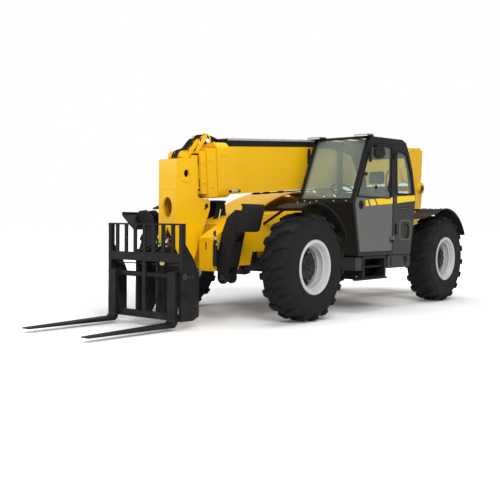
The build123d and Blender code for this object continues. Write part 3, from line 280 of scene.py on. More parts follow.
@dataclass(frozen=True)
class Paint:
    """Sprayed metal with a little unevenness, rubbed edges and road dust low down."""

    name: str
    colour: Colour
    edge: Colour
    roughness: float = 0.32
    coat: float = 0.25
    specular: float = 0.35
    edge_radius: float = 0.004
    edge_limits: Pair = (0.02, 0.3)
    edge_wear: float = 0.55
    grit: Pair = (0.52, 0.66)
    dust: float = 0.06
    dust_colour: Colour = (0.28, 0.24, 0.19)
    dust_heights: Pair = (0.15, 1.1)
    orange_peel: float = 0.05

    def build(self) -> Material:
        """Makes the material.

        Returns:
            It, finished.
        """
        g = Graph(self.name)
        rounded = g.round_edges(self.edge_radius)
        cloud = g.noise(1.7, 4.0).clamp(*CLOUD)
        base = g.blend(cloud, toned(self.colour, 0.93), self.colour)
        grit = g.noise(38.0, 5.0).clamp(*self.grit)
        worn = (g.edge_mask(rounded, *self.edge_limits) * grit) * self.edge_wear
        base = g.blend(worn, base, self.edge)
        low = (1.0 - g.axis("Z").clamp(*self.dust_heights)) * g.noise(6.0, 5.0).clamp(0.35, 0.75)
        soil = low * self.dust
        rough = self.roughness + cloud * 0.05 + soil * 0.6
        normal = g.bump(g.noise(PEEL_SCALE, 1.0), self.orange_peel, PEEL_DEPTH, rounded)
        more = {"Coat Weight": self.coat, "Coat Roughness": 0.12, "Specular IOR Level": self.specular}
        return g.dress(g.blend(soil, base, self.dust_colour), rough, normal, more)


@dataclass(frozen=True)
class TwoTone:
    """Two paints on one skin: dark above and in front, grey low down at the rear."""

    name: str
    dark: Colour
    grey: Colour
    edge_x: float = -1.100
    edge_z: float = 1.655
    blur: float = 0.001
    roughness: float = 0.42
    specular: float = 0.14
    dust: float = 0.05
    dust_colour: Colour = (0.26, 0.22, 0.18)
    dust_heights: Pair = (0.7, 1.3)
    orange_peel: float = 0.05

    def build(self) -> Material:
        """Makes the material.

        Returns:
            It, finished.
        """
        g = Graph(self.name)
        rounded = g.round_edges(0.004)
        low = 1.0 - g.axis("Z").clamp(self.edge_z - self.blur, self.edge_z + self.blur)
        back = 1.0 - g.axis("X").clamp(self.edge_x - self.blur, self.edge_x + self.blur)
        cloud = g.noise(2.0, 4.0).clamp(*CLOUD)
        base = g.blend(low * back, self.dark, self.grey)
        soil = (1.0 - g.axis("Z").clamp(*self.dust_heights)) * g.noise(6.0, 5.0).clamp(0.4, 0.8)
        base = g.blend(soil * self.dust, base, self.dust_colour)
        normal = g.bump(g.noise(PEEL_SCALE, 1.0), self.orange_peel, PEEL_DEPTH, rounded)
        return g.dress(base, self.roughness + cloud * 0.06, normal, {"Specular IOR Level": self.specular})


@dataclass(frozen=True)
class Rubber:
    """Tyre or hose rubber: dark, matt, dusty in patches."""

    name: str
    colour: Colour
    dust: float
    grain: float = 260.0
    dust_colour: Colour = (0.13, 0.115, 0.1)
    roughness: float = 0.62
    specular: float = 0.12
    relief: Pair = (0.25, 0.002)

    def build(self) -> Material:
        """Makes the material.

        Returns:
            It, finished.
        """
        g = Graph(self.name)
        rounded = g.round_edges(0.006)
        cloud = g.noise(5.0, 5.0).clamp(*FILM)
        grain = g.noise(self.grain, 3.0)
        dusty = (cloud * grain.clamp(0.4, 0.7)) * self.dust
        base = g.blend(dusty, self.colour, self.dust_colour)
        normal = g.bump(grain, *self.relief, rounded)
        return g.dress(base, self.roughness + cloud * 0.2, normal, {"Specular IOR Level": self.specular})


@dataclass(frozen=True)
class Plastic:
    """Moulded plastic or satin trim with a fine leather-like grain."""

    name: str
    colour: Colour
    roughness: float = 0.5
    specular: float = 0.14
    grain: float = 700.0
    relief: Pair = (0.3, 0.0004)

    def build(self) -> Material:
        """Makes the material.

        Returns:
            It, finished.
        """
        g = Graph(self.name)
        rounded = g.round_edges(0.003)
        place = {"Vector": g.place(), "Scale": self.grain}
        cells = g.node("ShaderNodeTexVoronoi", {"feature": "DISTANCE_TO_EDGE"}, place).clamp(0.0, 0.25)
        cloud = g.noise(3.0, 4.0).clamp(*CLOUD)
        base = g.blend(cloud, toned(self.colour, 0.85), self.colour)
        normal = g.bump(cells, *self.relief, rounded)
        return g.dress(base, self.roughness + cloud * 0.08, normal, {"Specular IOR Level": self.specular})


@dataclass(frozen=True)
class Metal:
    """Bare or plated metal."""

    name: str
    colour: Colour
    roughness: float = 0.2
    scratch: float = 0.12
    stretch: Colour = (1.0, 1.0, 1.0)
    relief: Pair = (0.08, 0.0005)

    def build(self) -> Material:
        """Makes the material.

        Returns:
            It, finished.
        """
        g = Graph(self.name)
        rounded = g.round_edges(0.002)
        lines = g.noise(180.0, 4.0, self.stretch)
        blotch = g.noise(7.0, 4.0).clamp(*FILM)
        base = g.blend(blotch, toned(self.colour, 0.82), self.colour)
        rough = self.roughness + blotch * 0.1 + lines * self.scratch
        return g.dress(base, rough, g.bump(lines, *self.relief, rounded), {"Metallic": 1.0})


@dataclass(frozen=True)
class CastIron:
    """Rough painted casting."""

    name: str
    colour: Colour
    roughness: float = 0.6
    specular: float = 0.25
    relief: Pair = (0.5, 0.002)

    def build(self) -> Material:
        """Makes the material.

        Returns:
            It, finished.
        """
        g = Graph(self.name)
        rounded = g.round_edges(0.005)
        skin = g.noise(160.0, 5.0)
        oil = g.noise(4.0, 4.0).clamp(0.4, 0.7)
        base = g.blend(oil, self.colour, toned(self.colour, 1.8, 0.004))
        normal = g.bump(skin, *self.relief, rounded)
        return g.dress(base, self.roughness - oil * 0.15, normal, {"Specular IOR Level": self.specular})


@dataclass(frozen=True)
class Glazing:
    """Tinted safety glass that lets the view through and keeps its reflections, under a pale diffuse veil
    that is painted reflection of the sky, stronger at grazing angles.
    """

    name: str
    tint: Colour = (0.93, 0.98, 0.955)
    # The pale veil's two colours and its share over the whole pane and at grazing angles are painted
    # reflection of the sky.
    film_colours: tuple[Colour, Colour] = ((0.55, 0.59, 0.52), (0.66, 0.69, 0.61))
    body: float = 0.080
    edge_on: float = 0.12
    specular: float = 0.8

    def build(self) -> Material:
        """Makes the material.

        Returns:
            It, finished.
        """
        g = Graph(self.name)
        # Patchy noise that varies the painted reflection veil's colour and share, and the roughness.
        blotch = g.noise(2.4, 4.0).clamp(0.35, 0.75)
        painted_veil_share = self.body + blotch * 0.02
        clear = g.node("ShaderNodeBsdfTransparent", inputs={0: (*self.tint, 1.0)})
        # Real gloss on a pale diffuse base colour: the base colour is painted reflection of the sky.
        gloss_and_painted_veil = g.shader(
            {
                "Base Color": g.blend(blotch, *self.film_colours),
                "Roughness": 0.03 + blotch * 0.02,
                "Specular IOR Level": self.specular,
            }
        )
        facing = g.node("ShaderNodeLayerWeight", inputs={"Blend": 0.35}, output="Fresnel")
        mix = (painted_veil_share + facing * self.edge_on).clamp(0.0, 1.0)
        return g.close(g.node("ShaderNodeMixShader", inputs={0: mix, 1: clear, 2: gloss_and_painted_veil}))


@dataclass(frozen=True)
class Cloth:
    """Woven seat cover."""

    name: str
    colour: Colour = (0.022, 0.022, 0.024)
    threads: float = 70.0
    roughness: float = 0.9
    sheen: float = 0.1
    relief: Pair = (0.6, 0.001)

    def build(self) -> Material:
        """Makes the material.

        Returns:
            It, finished.
        """
        g = Graph(self.name)
        weave = (g.wave("X", self.threads) + g.wave("Y", self.threads) + g.wave("Z", self.threads)) * 0.33
        rub = g.noise(5.0, 4.0).clamp(*FILM)
        base = g.blend(weave * 0.6 + rub * 0.3, self.colour, toned(self.colour, 2.2))
        return g.dress(base, self.roughness, g.bump(weave, *self.relief), {"Sheen Weight": self.sheen})


@dataclass(frozen=True)
class LampGlass:
    """Moulded lamp lens with a faint ribbing."""

    name: str
    colour: Colour = (0.9, 0.92, 0.93)
    roughness: float = 0.12
    rib_scale: float = 60.0
    relief: Pair = (0.3, 0.002)
    coat: float = 0.6

    def build(self) -> Material:
        """Makes the material.

        Returns:
            It, finished.
        """
        g = Graph(self.name)
        ribs = g.wave("Z", self.rib_scale)
        base = g.blend(ribs * 0.4, self.colour, toned(self.colour, 0.7))
        normal = g.bump(ribs, *self.relief)
        return g.dress(base, self.roughness + ribs * 0.05, normal, {"Coat Weight": self.coat})


class Finishes:
    """Every finish of the machine, built once and asked for by name."""

    def __init__(self) -> None:
        """Builds them all."""
        worn = (0.10, 0.10, 0.10)
        pale_edge = (0.3, 0.3, 0.3)
        cab_dark = (0.011, 0.0105, 0.010)
        warm_grey = (0.118, 0.115, 0.11)
        coal = (0.010, 0.010, 0.0105)
        self.yellow = Paint("yellow_paint", (0.84, 0.47, 0.003), (0.55, 0.28, 0.01), 0.34, 0.15, 0.25).build()
        self.black = Paint("black_paint", (0.009, 0.009, 0.0095), worn, 0.46, 0.0, 0.12).build()
        self.charcoal = Paint("charcoal_paint", (0.016, 0.016, 0.016), worn, 0.46, 0.0, 0.12).build()
        self.grey = Paint("warm_grey_paint", warm_grey, pale_edge, 0.45, 0.0, 0.2).build()
        self.rim = Paint("rim_paint", (0.5, 0.51, 0.52), pale_edge, 0.3, 0.3).build()
        self.tank = Paint("tank_paint", (0.028, 0.028, 0.028), (0.12, 0.12, 0.12), 0.45, 0.0, 0.2).build()
        self.stripe = Paint("stripe_paint", (0.90, 0.62, 0.012), (0.5, 0.3, 0.02), 0.4, 0.0, 0.2).build()
        self.pale = Paint("pale_paint", (0.42, 0.43, 0.44), pale_edge, 0.4, 0.1).build()
        self.cab_shell = TwoTone("cab_shell", cab_dark, (0.033, 0.032, 0.031)).build()
        self.door_skin = TwoTone("door_skin", cab_dark, warm_grey, 1.0, 1.590).build()
        self.tyre = Rubber("tyre_rubber", coal, 0.10).build()
        self.hose = Rubber("hose_rubber", (0.008, 0.008, 0.0085), 0.05, 900.0).build()
        self.seal = Rubber("seal_rubber", (0.007, 0.007, 0.007), 0.04, 1200.0).build()
        self.dark_steel = Metal("dark_steel", (0.07, 0.07, 0.072), 0.4, 0.15).build()
        self.chrome = Metal("chrome", (0.82, 0.82, 0.84), 0.08, 0.06, (1.0, 8.0, 8.0)).build()
        self.zinc = Metal("zinc_plate", (0.62, 0.61, 0.57), 0.3, 0.15).build()
        self.brass = Metal("yellow_zinc", (0.72, 0.55, 0.24), 0.28, 0.15).build()
        self.iron = CastIron("casting", coal).build()
        self.glass = Glazing("tinted_glass").build()
        self.fabric = Cloth("seat_cloth").build()
        self.plastic = Plastic("black_plastic", coal).build()
        self.lens = LampGlass("clear_lens").build()
        self.red_lens = LampGlass("red_lens", (0.45, 0.015, 0.01)).build()
        self.amber = LampGlass("amber_lens", (0.75, 0.22, 0.01)).build()
        self.by_slot = {slot: getattr(self, slot.name.lower()) for slot in Slot}


# --- hand tools -------------------------------------------------------------


class Bench:
    """Modelling by Blender's operators: each method leaves one finished or half-finished piece."""

    def __init__(self, finishes: Finishes) -> None:
        """Keeps the finishes that pieces are dressed in."""
        self.finishes = finishes

    def clear(self) -> None:
        """Deselects everything."""
        bpy.ops.object.select_all(action="DESELECT")

    def only(self, piece: Piece) -> None:
        """Makes one object the selected and active one.

        Args:
            piece: That object.
        """
        self.clear()
        piece.select_set(True)
        bpy.context.view_layer.objects.active = piece

    def settle(self, piece: Piece) -> Piece:
        """Puts an object's place into its mesh.

        Args:
            piece: The object.

        Returns:
            The same object, at the origin.
        """
        self.only(piece)
        bpy.ops.object.transform_apply(location=True, rotation=True, scale=True)
        return piece

    def modify(self, piece: Piece, kind: str, **settings: object) -> None:
        """Adds a modifier and applies it.

        Args:
            piece: The object.
            kind: The modifier's type.
            **settings: Its properties.
        """
        self.only(piece)
        made = piece.modifiers.new(kind.lower(), kind)
        for key, value in settings.items():
            setattr(made, key, value)
        bpy.ops.object.modifier_apply(modifier=made.name)

    def bevel(self, piece: Piece, width: float, segments: int = 2, angle: float = 30.0) -> None:
        """Rounds a piece's sharp edges.

        Args:
            piece: The object.
            width: Metres, or 0 to leave the edges sharp.
            segments: Facets of the rounding.
            angle: Edges sharper than this, in degrees, are rounded.
        """
        if width:
            limits = {"limit_method": "ANGLE", "angle_limit": math.radians(angle), "use_clamp_overlap": True}
            self.modify(piece, "BEVEL", width=width, segments=segments, **limits)

    def smooth(self, piece: Piece, angle: float) -> None:
        """Shades a piece smooth except over edges sharper than an angle in degrees."""
        self.only(piece)
        bpy.ops.object.shade_smooth_by_angle(angle=math.radians(angle))

    def pick(self, piece: Piece, test: Callable[[Vector, Vector], bool]) -> None:
        """Selects faces, in edit mode, by their centre and normal.

        Args:
            piece: The object being edited.
            test: Says whether a face is wanted.
        """
        mesh = bmesh.from_edit_mesh(piece.data)
        for face in mesh.faces:
            face.select_set(bool(test(face.calc_center_median(), face.normal)))
        mesh.select_flush_mode()
        bmesh.update_edit_mesh(piece.data)

    def edit(self, piece: Piece) -> None:
        """Goes into edit mode on one piece, with everything selected.

        Args:
            piece: The object.
        """
        self.only(piece)
        bpy.ops.object.mode_set(mode="EDIT")
        bpy.ops.mesh.select_mode(type="FACE")
        bpy.ops.mesh.select_all(action="SELECT")

    def leave(self) -> None:
        """Goes back to object mode."""
        bpy.ops.object.mode_set(mode="OBJECT")

    def tidy(self, piece: Piece, near: float = 1e-5) -> None:
        """Merges doubles and turns all faces outwards.

        Args:
            piece: The object.
            near: Metres within which two points are one.
        """
        self.edit(piece)
        bpy.ops.mesh.remove_doubles(threshold=near)
        bpy.ops.mesh.dissolve_degenerate(threshold=near)
        bpy.ops.mesh.normals_make_consistent(inside=False)
        self.leave()

    def outline(self, corners: Sequence[Point], fill: str) -> Piece:
        """Starts a piece from a closed outline and leaves it in edit mode.

        Args:
            corners: Its corners in order.
            fill: Whether it gets a face, by the circle operator's name for that.

        Returns:
            The piece.
        """
        self.clear()
        bpy.ops.mesh.primitive_circle_add(vertices=len(corners), radius=1.0, fill_type=fill)
        piece = bpy.context.object
        for vertex, corner in zip(piece.data.vertices, corners):
            vertex.co = corner
        self.edit(piece)
        return piece

    def prism(
        self, corners: Sequence[Point], depth: Point, width: float = 0.0, segments: int = 2
    ) -> Piece:
        """A plate: an outline pushed along a direction.

        Args:
            corners: The outline's corners in order.
            depth: The push.
            width: Rounding of its edges, or 0.
            segments: Facets of the rounding.

        Returns:
            The plate.
        """
        piece = self.outline(corners, "NGON")
        bpy.ops.mesh.extrude_region_move(TRANSFORM_OT_translate={"value": tuple(depth)})
        bpy.ops.mesh.select_all(action="SELECT")
        bpy.ops.mesh.normals_make_consistent(inside=False)
        self.leave()
        self.bevel(piece, width, segments)
        return piece

    def block(self, low: Point, high: Point, width: float = 0.0) -> Piece:
        """A box with rounded edges.

        Args:
            low: Its lowest corner.
            high: Its highest corner.
            width: Rounding.

        Returns:
            The box.
        """
        self.clear()
        middle = [(a + b) / 2 for a, b in zip(low, high)]
        size = [b - a for a, b in zip(low, high)]
        bpy.ops.mesh.primitive_cube_add(size=1.0, location=middle, scale=size)
        piece = self.settle(bpy.context.object)
        self.bevel(piece, width)
        return piece

    def hexagon(self, radius: float, height: float, middle: float, width: float) -> Piece:
        """A hexagon bar round Z.

        Args:
            radius: Over its corners.
            height: Its length.
            middle: Height of its middle.
            width: Rounding.

        Returns:
            The bar.
        """
        self.clear()
        place = (0, 0, middle)
        bpy.ops.mesh.primitive_cylinder_add(vertices=6, radius=radius, depth=height, location=place)
        piece = self.settle(bpy.context.object)
        self.bevel(piece, width, 1)
        return piece

    def turned(
        self,
        profile: Sequence[Pair],
        steps: int = 32,
        centre: Point = ORIGIN,
        axis: Point = UP,
        angle: float = 35.0,
    ) -> Piece:
        """A turned part: a closed profile spun round an axis.

        Args:
            profile: Radius and height pairs, in order round the section.
            steps: Facets round.
            centre: Where height 0 is on the axis.
            axis: The axis' direction.
            angle: Smoothing angle.

        Returns:
            The part.
        """
        piece = self.outline([(radius, 0.0, height) for radius, height in profile], "NOTHING")
        bpy.ops.mesh.select_mode(type="VERT")
        bpy.ops.mesh.select_all(action="SELECT")
        bpy.ops.mesh.spin(steps=steps, angle=math.tau, center=ORIGIN, axis=UP)
        self.leave()
        self.tidy(piece)
        piece.data.transform(at(centre, axis))
        self.smooth(piece, angle)
        return piece

    def wire(
        self, route: Sequence[Point], radius: float, sides: int, kind: str, **settings: object
    ) -> Piece:
        """A round bar along a route, as a mesh.

        Args:
            route: Its points.
            radius: Metres.
            sides: Bevel resolution.
            kind: The spline's type.
            **settings: The spline's properties.

        Returns:
            The bar.
        """
        self.clear()
        bpy.ops.curve.primitive_nurbs_path_add()
        piece = bpy.context.object
        curve = piece.data
        curve.splines.clear()
        spline = curve.splines.new(kind)
        spline.points.add(len(route) - 1)
        for point, place in zip(spline.points, route):
            point.co = (*place, 1.0)
        for key, value in settings.items():
            setattr(spline, key, value)
        curve.dimensions = "3D"
        curve.bevel_depth = radius
        curve.bevel_resolution = sides
        curve.use_fill_caps = not spline.use_cyclic_u
        self.only(piece)
        bpy.ops.object.convert(target="MESH")
        piece = bpy.context.object
        self.tidy(piece)
        return piece

    def tube(
        self, route: Sequence[Point], radius: float, order: int = 3, sides: int = 3, fine: int = 6
    ) -> Piece:
        """A pipe or hose along a smooth route.

        Args:
            route: Its control points.
            radius: Metres.
            order: Order of the spline; 2 keeps straight runs.
            sides: Bevel resolution.
            fine: Steps per span.

        Returns:
            The pipe, as a mesh.
        """
        settings = {"order_u": order, "use_endpoint_u": True, "resolution_u": fine}
        piece = self.wire(route, radius, sides, "NURBS", **settings)
        self.smooth(piece, 50.0)
        return piece

    def loop(self, route: Sequence[Point], radius: float) -> Piece:
        """A closed bead through every point of a route.

        Args:
            route: Its points.
            radius: Metres.

        Returns:
            The bead, as a mesh.
        """
        piece = self.wire(route, radius, 2, "POLY", use_cyclic_u=True)
        self.smooth(piece, 60.0)
        return piece

    def copies(
        self, model: Piece, places: Iterable[Matrix], keep: bool = False
    ) -> Piece:
        """Copies a model to many places and joins the copies.

        Args:
            model: The piece modelled once, at the origin.
            places: Where each copy goes.
            keep: Whether the model itself stays for another use.

        Returns:
            One object that holds all copies.
        """
        made = []
        for place in places:
            twin = model.copy()
            twin.data = model.data.copy()
            twin.data.transform(place)
            bpy.context.collection.objects.link(twin)
            made.append(twin)
        if not keep:
            bpy.data.objects.remove(model)
        return self.join(made)

    def join(self, pieces: Sequence[Piece]) -> Piece:
        """Joins pieces into the first.

        Args:
            pieces: The pieces.

        Returns:
            The joined object.
        """
        self.clear()
        for piece in pieces:
            piece.select_set(True)
        bpy.context.view_layer.objects.active = pieces[0]
        if len(pieces) > 1:
            bpy.ops.object.join()
        return bpy.context.view_layer.objects.active

    def finish(
        self,
        pieces: Piece | Sequence[Piece],
        name: str,
        body: str,
        slot: Slot,
        material: Material | None = None,
    ) -> Piece:
        """Joins pieces into one, names it, dresses it and makes it ride.

        Args:
            pieces: The piece, or all of them.
            name: Its plain name.
            body: The body that carries it.
            slot: The record's slot.
            material: Its finish, where it isn't the slot's own.

        Returns:
            The piece.
        """
        piece = pieces if isinstance(pieces, Piece) else self.join(pieces)
        piece.name = name
        piece.data.name = name
        piece.data.materials.clear()
        piece.data.materials.append(material or self.finishes.by_slot[slot])
        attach(piece, body)
        LOG.info("%s: %d faces on %s", name, len(piece.data.polygons), body)
        return piece


def at(centre: Point, axis: Point = UP, turn: float = 0.0) -> Matrix:
    """Where a model whose axis is Z goes, by its origin, where its Z points, and radians about that."""
    aim = Vector(UP).rotation_difference(Vector(axis)).to_matrix().to_4x4()
    return Matrix.Translation(Vector(centre)) @ aim @ Matrix.Rotation(turn, 4, "Z")


def angles(count: int, shift: float = 0.0) -> list[float]:
    """Angles of that many places round a circle, shifted by a share of one step."""
    return [math.tau * (k + shift) / count for k in range(count)]


# --- the studio -------------------------------------------------------------


@dataclass
class Studio:
    """Camera, floor and soft light."""

    place: Point = (9.021, 6.776, 1.240)
    yaw: float = 219.158
    pitch: float = -2.050
    roll: float = 0.580
    lens: float = 56.22
    sensor: float = 36.0
    sight: float = 400.0
    floor_size: float = 240.0
    shadow: Pair = (3.2, 7.5)
    lift: Pair = (0.95, 0.06)
    sky: float = 0.42
    lamps: tuple[tuple[str, Point, Point, float, float], ...] = (
        ("key", (9.0, 10.0, 9.0), (0.0, 0.0, 1.0), 6.0, 1350.0),
        ("top", (-1.0, 1.0, 11.0), (0.0, 0.0, 0.0), 9.0, 800.0),
        ("side", (10.0, -7.0, 5.0), (1.0, 0.0, 1.0), 5.0, 330.0),
    )

    def build_camera(self) -> None:
        """Adds the camera."""
        data = bpy.data.cameras.new("camera")
        camera = bpy.data.objects.new("camera", data)
        bpy.context.collection.objects.link(camera)
        data.lens = self.lens
        data.sensor_width = self.sensor
        data.clip_end = self.sight
        yaw, pitch, roll = (math.radians(value) for value in (self.yaw, self.pitch, self.roll))
        forward = Vector((math.cos(pitch) * math.cos(yaw), math.cos(pitch) * math.sin(yaw), math.sin(pitch)))
        level = forward.cross(Vector(UP)).normalized()
        rise = level.cross(forward)
        right = math.cos(roll) * level + math.sin(roll) * rise
        up = -math.sin(roll) * level + math.cos(roll) * rise
        turn = Matrix((right, up, -forward)).transposed().to_4x4()
        camera.matrix_world = Matrix.Translation(Vector(self.place)) @ turn
        bpy.context.scene.camera = camera

    def build_floor(self) -> None:
        """Adds a plain pale floor that keeps the shadow and fades to white with distance."""
        bpy.ops.object.select_all(action="DESELECT")
        bpy.ops.mesh.primitive_plane_add(size=self.floor_size, location=ORIGIN)
        floor = bpy.context.object
        floor.name = "floor"
        g = Graph("pale_floor")
        speck = g.noise(30.0, 2.0).clamp(0.2, 0.8)
        grey = g.blend(speck, (0.83, 0.83, 0.83), (0.85, 0.85, 0.85))
        plain = g.shader({"Base Color": grey, "Roughness": 0.9, "Specular IOR Level": 0.1})
        rays = g.tree.nodes.new("ShaderNodeLightPath")
        camera, glossy, through = (
            Wire(g, rays.outputs[f"Is {kind} Ray"]) for kind in ("Camera", "Glossy", "Transmission")
        )
        seen = camera + glossy + through
        reach = g.node("ShaderNodeVectorMath", {"operation": "LENGTH"}, {0: g.place()}, "Value")
        far = reach.clamp(*self.shadow)
        strength = seen.clamp(0.0, 1.0) * (far * self.lift[0] + self.lift[1])
        lift = g.node("ShaderNodeEmission", inputs={"Color": (1, 1, 1, 1), "Strength": strength})
        floor.data.materials.append(g.close(g.node("ShaderNodeAddShader", inputs={0: plain, 1: lift})))

    def build_world(self) -> None:
        """Adds an even pale sky that shows white."""
        world = bpy.data.worlds.new("sky")
        bpy.context.scene.world = world
        world.use_nodes = True
        tree = world.node_tree
        tree.nodes.clear()
        rays = tree.nodes.new("ShaderNodeLightPath")
        mix = tree.nodes.new("ShaderNodeMixShader")
        end = tree.nodes.new("ShaderNodeOutputWorld")
        tree.links.new(rays.outputs["Is Camera Ray"], mix.inputs[0])
        for index, strength in enumerate((self.sky, 1.0), start=1):
            shade = tree.nodes.new("ShaderNodeBackground")
            shade.inputs["Color"].default_value = (1.0, 1.0, 1.0, 1.0)
            shade.inputs["Strength"].default_value = strength
            tree.links.new(shade.outputs[0], mix.inputs[index])
        tree.links.new(mix.outputs[0], end.inputs["Surface"])

    def build_light(self, name: str, place: Point, aim: Point, size: float, power: float) -> None:
        """Adds one soft lamp.

        Args:
            name: Its name.
            place: Where it hangs.
            aim: What it points at.
            size: Metres across.
            power: Watts.
        """
        data = bpy.data.lights.new(name, "AREA")
        data.shape = "DISK"
        data.size = size
        data.energy = power
        lamp = bpy.data.objects.new(name, data)
        bpy.context.collection.objects.link(lamp)
        lamp.location = place
        lamp.rotation_euler = (Vector(aim) - Vector(place)).to_track_quat("-Z", "Y").to_euler()

    def build(self) -> None:
        """Builds the whole studio."""
        bpy.context.scene.view_settings.view_transform = "Standard"
        self.build_camera()
        self.build_floor()
        self.build_world()
        for lamp in self.lamps:
            self.build_light(*lamp)
        LOG.info("studio: camera, floor, sky and three lamps")


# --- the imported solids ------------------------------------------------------


class Solids:
    """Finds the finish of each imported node."""

    def __init__(self, frame: dict, finishes: Finishes) -> None:
        """Keeps the frame's nodes and says which names, or starts of names, wear which finish.

        Args:
            finishes: All finishes.
        """
        self.nodes = frame["nodes"]
        self.plain = finishes.black
        self.groups = (
            (("front_frame", "stabilizer_boxes", "frame_rails", "cross_members", "engine_hood",
              "boom_outer", "boom_second", "boom_third", "boom_fly"), finishes.yellow),
            (("cab_frame",), finishes.cab_shell),
            (("door_panel",), finishes.door_skin),
            (("lift_rod", "tilt_rod", "stabilizer_left_rod", "stabilizer_right_rod"), finishes.chrome),
            (("cab_glass", "door_glass"), finishes.glass),
            (("hose_tray", "mirrors", "lamps", "controls", "fenders"), finishes.plastic),
            (("engine_block", "drive_line", "front_axle", "rear_axle", "knuckle"), finishes.iron),
            (("seat_cushion",), finishes.fabric),
            (("tank",), finishes.tank),
            (("tyre",), finishes.tyre),
            (("rim",), finishes.rim),
        )

    def finish_of(self, node: str) -> Material:
        """The finish of a node by its name.

        Args:
            node: The name.

        Returns:
            The material.
        """
        for names, material in self.groups:
            if node.startswith(names):
                return material
        return self.plain

    def dress(self) -> None:
        """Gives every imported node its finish."""
        for name, node in self.nodes.items():
            material = self.finish_of(name)
            if not node.material_slots:
                node.data.materials.append(material)
            for material_slot in node.material_slots:
                material_slot.material = material
            LOG.info("%s: %s", name, material.name)


# --- small parts used all over ----------------------------------------------


class Side(Enum):
    """Left and right, as signs of Y."""

    LEFT = 1
    RIGHT = -1

    @property
    def word(self) -> str:
        """The side's name in lower case."""
        return self.name.lower()


class Axle(Enum):
    """The two axles and their places along the machine."""

    FRONT = 0.984
    REAR = -2.710

    @property
    def word(self) -> str:
        """The axle's name in lower case."""
        return self.name.lower()


AXLE_HEIGHT = 0.685
WHEEL_Y = 1.095


def both_sides(points: Iterable[Point], turn: float = 0.0) -> list[Matrix]:
    """Where a model goes on both sides of the machine with its axis outwards, by the left side's points."""
    return [at((x, s.value * y, z), (0, s.value, 0), turn) for s in Side for x, y, z in points]


def corners_rounded(outline: Sequence[Point], radius: float, steps: int = 4) -> list[Vector]:
    """Rounds the corners of a closed outline.

    Args:
        outline: Its corners.
        radius: Distance from a corner at which its bow starts.
        steps: Points in each bow, less one.

    Returns:
        The outline with bows.
    """
    points = [Vector(corner) for corner in outline]
    made = []
    for index, corner in enumerate(points):
        before = (points[index - 1] - corner).normalized() * radius
        after = (points[(index + 1) % len(points)] - corner).normalized() * radius
        for step in range(steps + 1):
            t = step / steps
            made.append(corner + before * (1 - t) ** 2 + after * t**2)
    return made


@dataclass
class Fasteners:
    """Bolts, nuts and caps, each modelled once with its foot at the origin and its axis up."""

    bench: Bench
    washer: float = 0.0025

    def bolt(self, across: float, share: float = 0.62) -> Piece:
        """A hexagon bolt head on its washer.

        Args:
            across: Size over the flats.
            share: The head's height as a share of that.

        Returns:
            The model.
        """
        height = share * across
        head = self.bench.hexagon(across / math.sqrt(3), height, height / 2 + self.washer, 0.09 * across)
        foot = 0.72 * across
        plate = self.bench.turned(((0, 0), (foot, 0), (foot, 0.8 * self.washer), (0, self.washer)), 12)
        return self.bench.join([head, plate])

    def wheel_nut(self, across: float) -> Piece:
        """A nut with its washer collar and the stud's end.

        Args:
            across: Size over the flats.

        Returns:
            The model.
        """
        nut = self.bolt(across, 0.75)
        top = self.washer + 0.75 * across
        stud = 0.28 * across
        low, edge, tip = top - 0.001, top + 0.4 * across, top + 0.5 * across
        end = self.bench.turned(((0, low), (stud, low), (stud, edge), (0.8 * stud, tip), (0, tip)), 8)
        return self.bench.join([nut, end])

    def pin_cap(self, radius: float, height: float) -> Piece:
        """A pin's end with a chamfer, a grease dimple and a keeper plate with two bolts.

        Args:
            radius: The pin's radius.
            height: How far it stands out.

        Returns:
            The model.
        """
        profile = (
            (0, 0), (radius, 0), (radius, 0.8 * height), (0.88 * radius, height), (0.22 * radius, height),
            (0.18 * radius, 0.7 * height), (0, 0.7 * height),
        )
        pin = self.bench.turned(profile, 24)
        low = (0.7 * radius, -0.35 * radius, 0)
        keeper = self.bench.block(low, (2.1 * radius, 0.35 * radius, 0.4 * height), 0.002)
        spots = [at((x * radius, 0, 0.4 * height)) for x in (1.3, 1.8)]
        return self.bench.join([pin, keeper, self.bench.copies(self.bolt(0.4 * radius), spots)])

    def fitting(self, radius: float, length: float) -> Piece:
        """A hose end: ferrule, nut and collar.

        Args:
            radius: The hose's radius.
            length: Of the whole fitting.

        Returns:
            The model.
        """
        shares = (
            (0, 0), (1.1, 0), (1.1, 0.25), (1.5, 0.28), (1.5, 0.55), (1.15, 0.58), (1.3, 0.65), (1.3, 1),
            (0, 1),
        )
        body = self.bench.turned([(r * radius, h * length) for r, h in shares], 12)
        nut = self.bench.hexagon(1.75 * radius, 0.25 * length, 0.42 * length, 0.1 * radius)
        return self.bench.join([body, nut])


@dataclass
class Dress:
    """A group of pieces and what they are made with."""

    bench: Bench
    finishes: Finishes
    fasteners: Fasteners

    def bolts(self, across: float, places: Iterable[Matrix]) -> Piece:
        """One bolt, by its size over the flats, copied to many places."""
        return self.bench.copies(self.fasteners.bolt(across), places)

    def put(
        self,
        pieces: Piece | Sequence[Piece],
        name: str,
        slot: Slot = Slot.BLACK,
        material: Material | None = None,
        body: str = "chassis",
    ) -> Piece:
        """Finishes one piece or several as one, by its name, slot, own finish and body."""
        return self.bench.finish(pieces, name, body, slot, material)

    def sided(self, side: Side, low: Point, high: Point, width: float) -> Piece:
        """A block on either side, by its lowest and highest corner on the left side, and its rounding."""
        y0, y1 = sorted((side.value * low[1], side.value * high[1]))
        return self.bench.block((low[0], y0, low[2]), (high[0], y1, high[2]), width)


# --- wheels -----------------------------------------------------------------


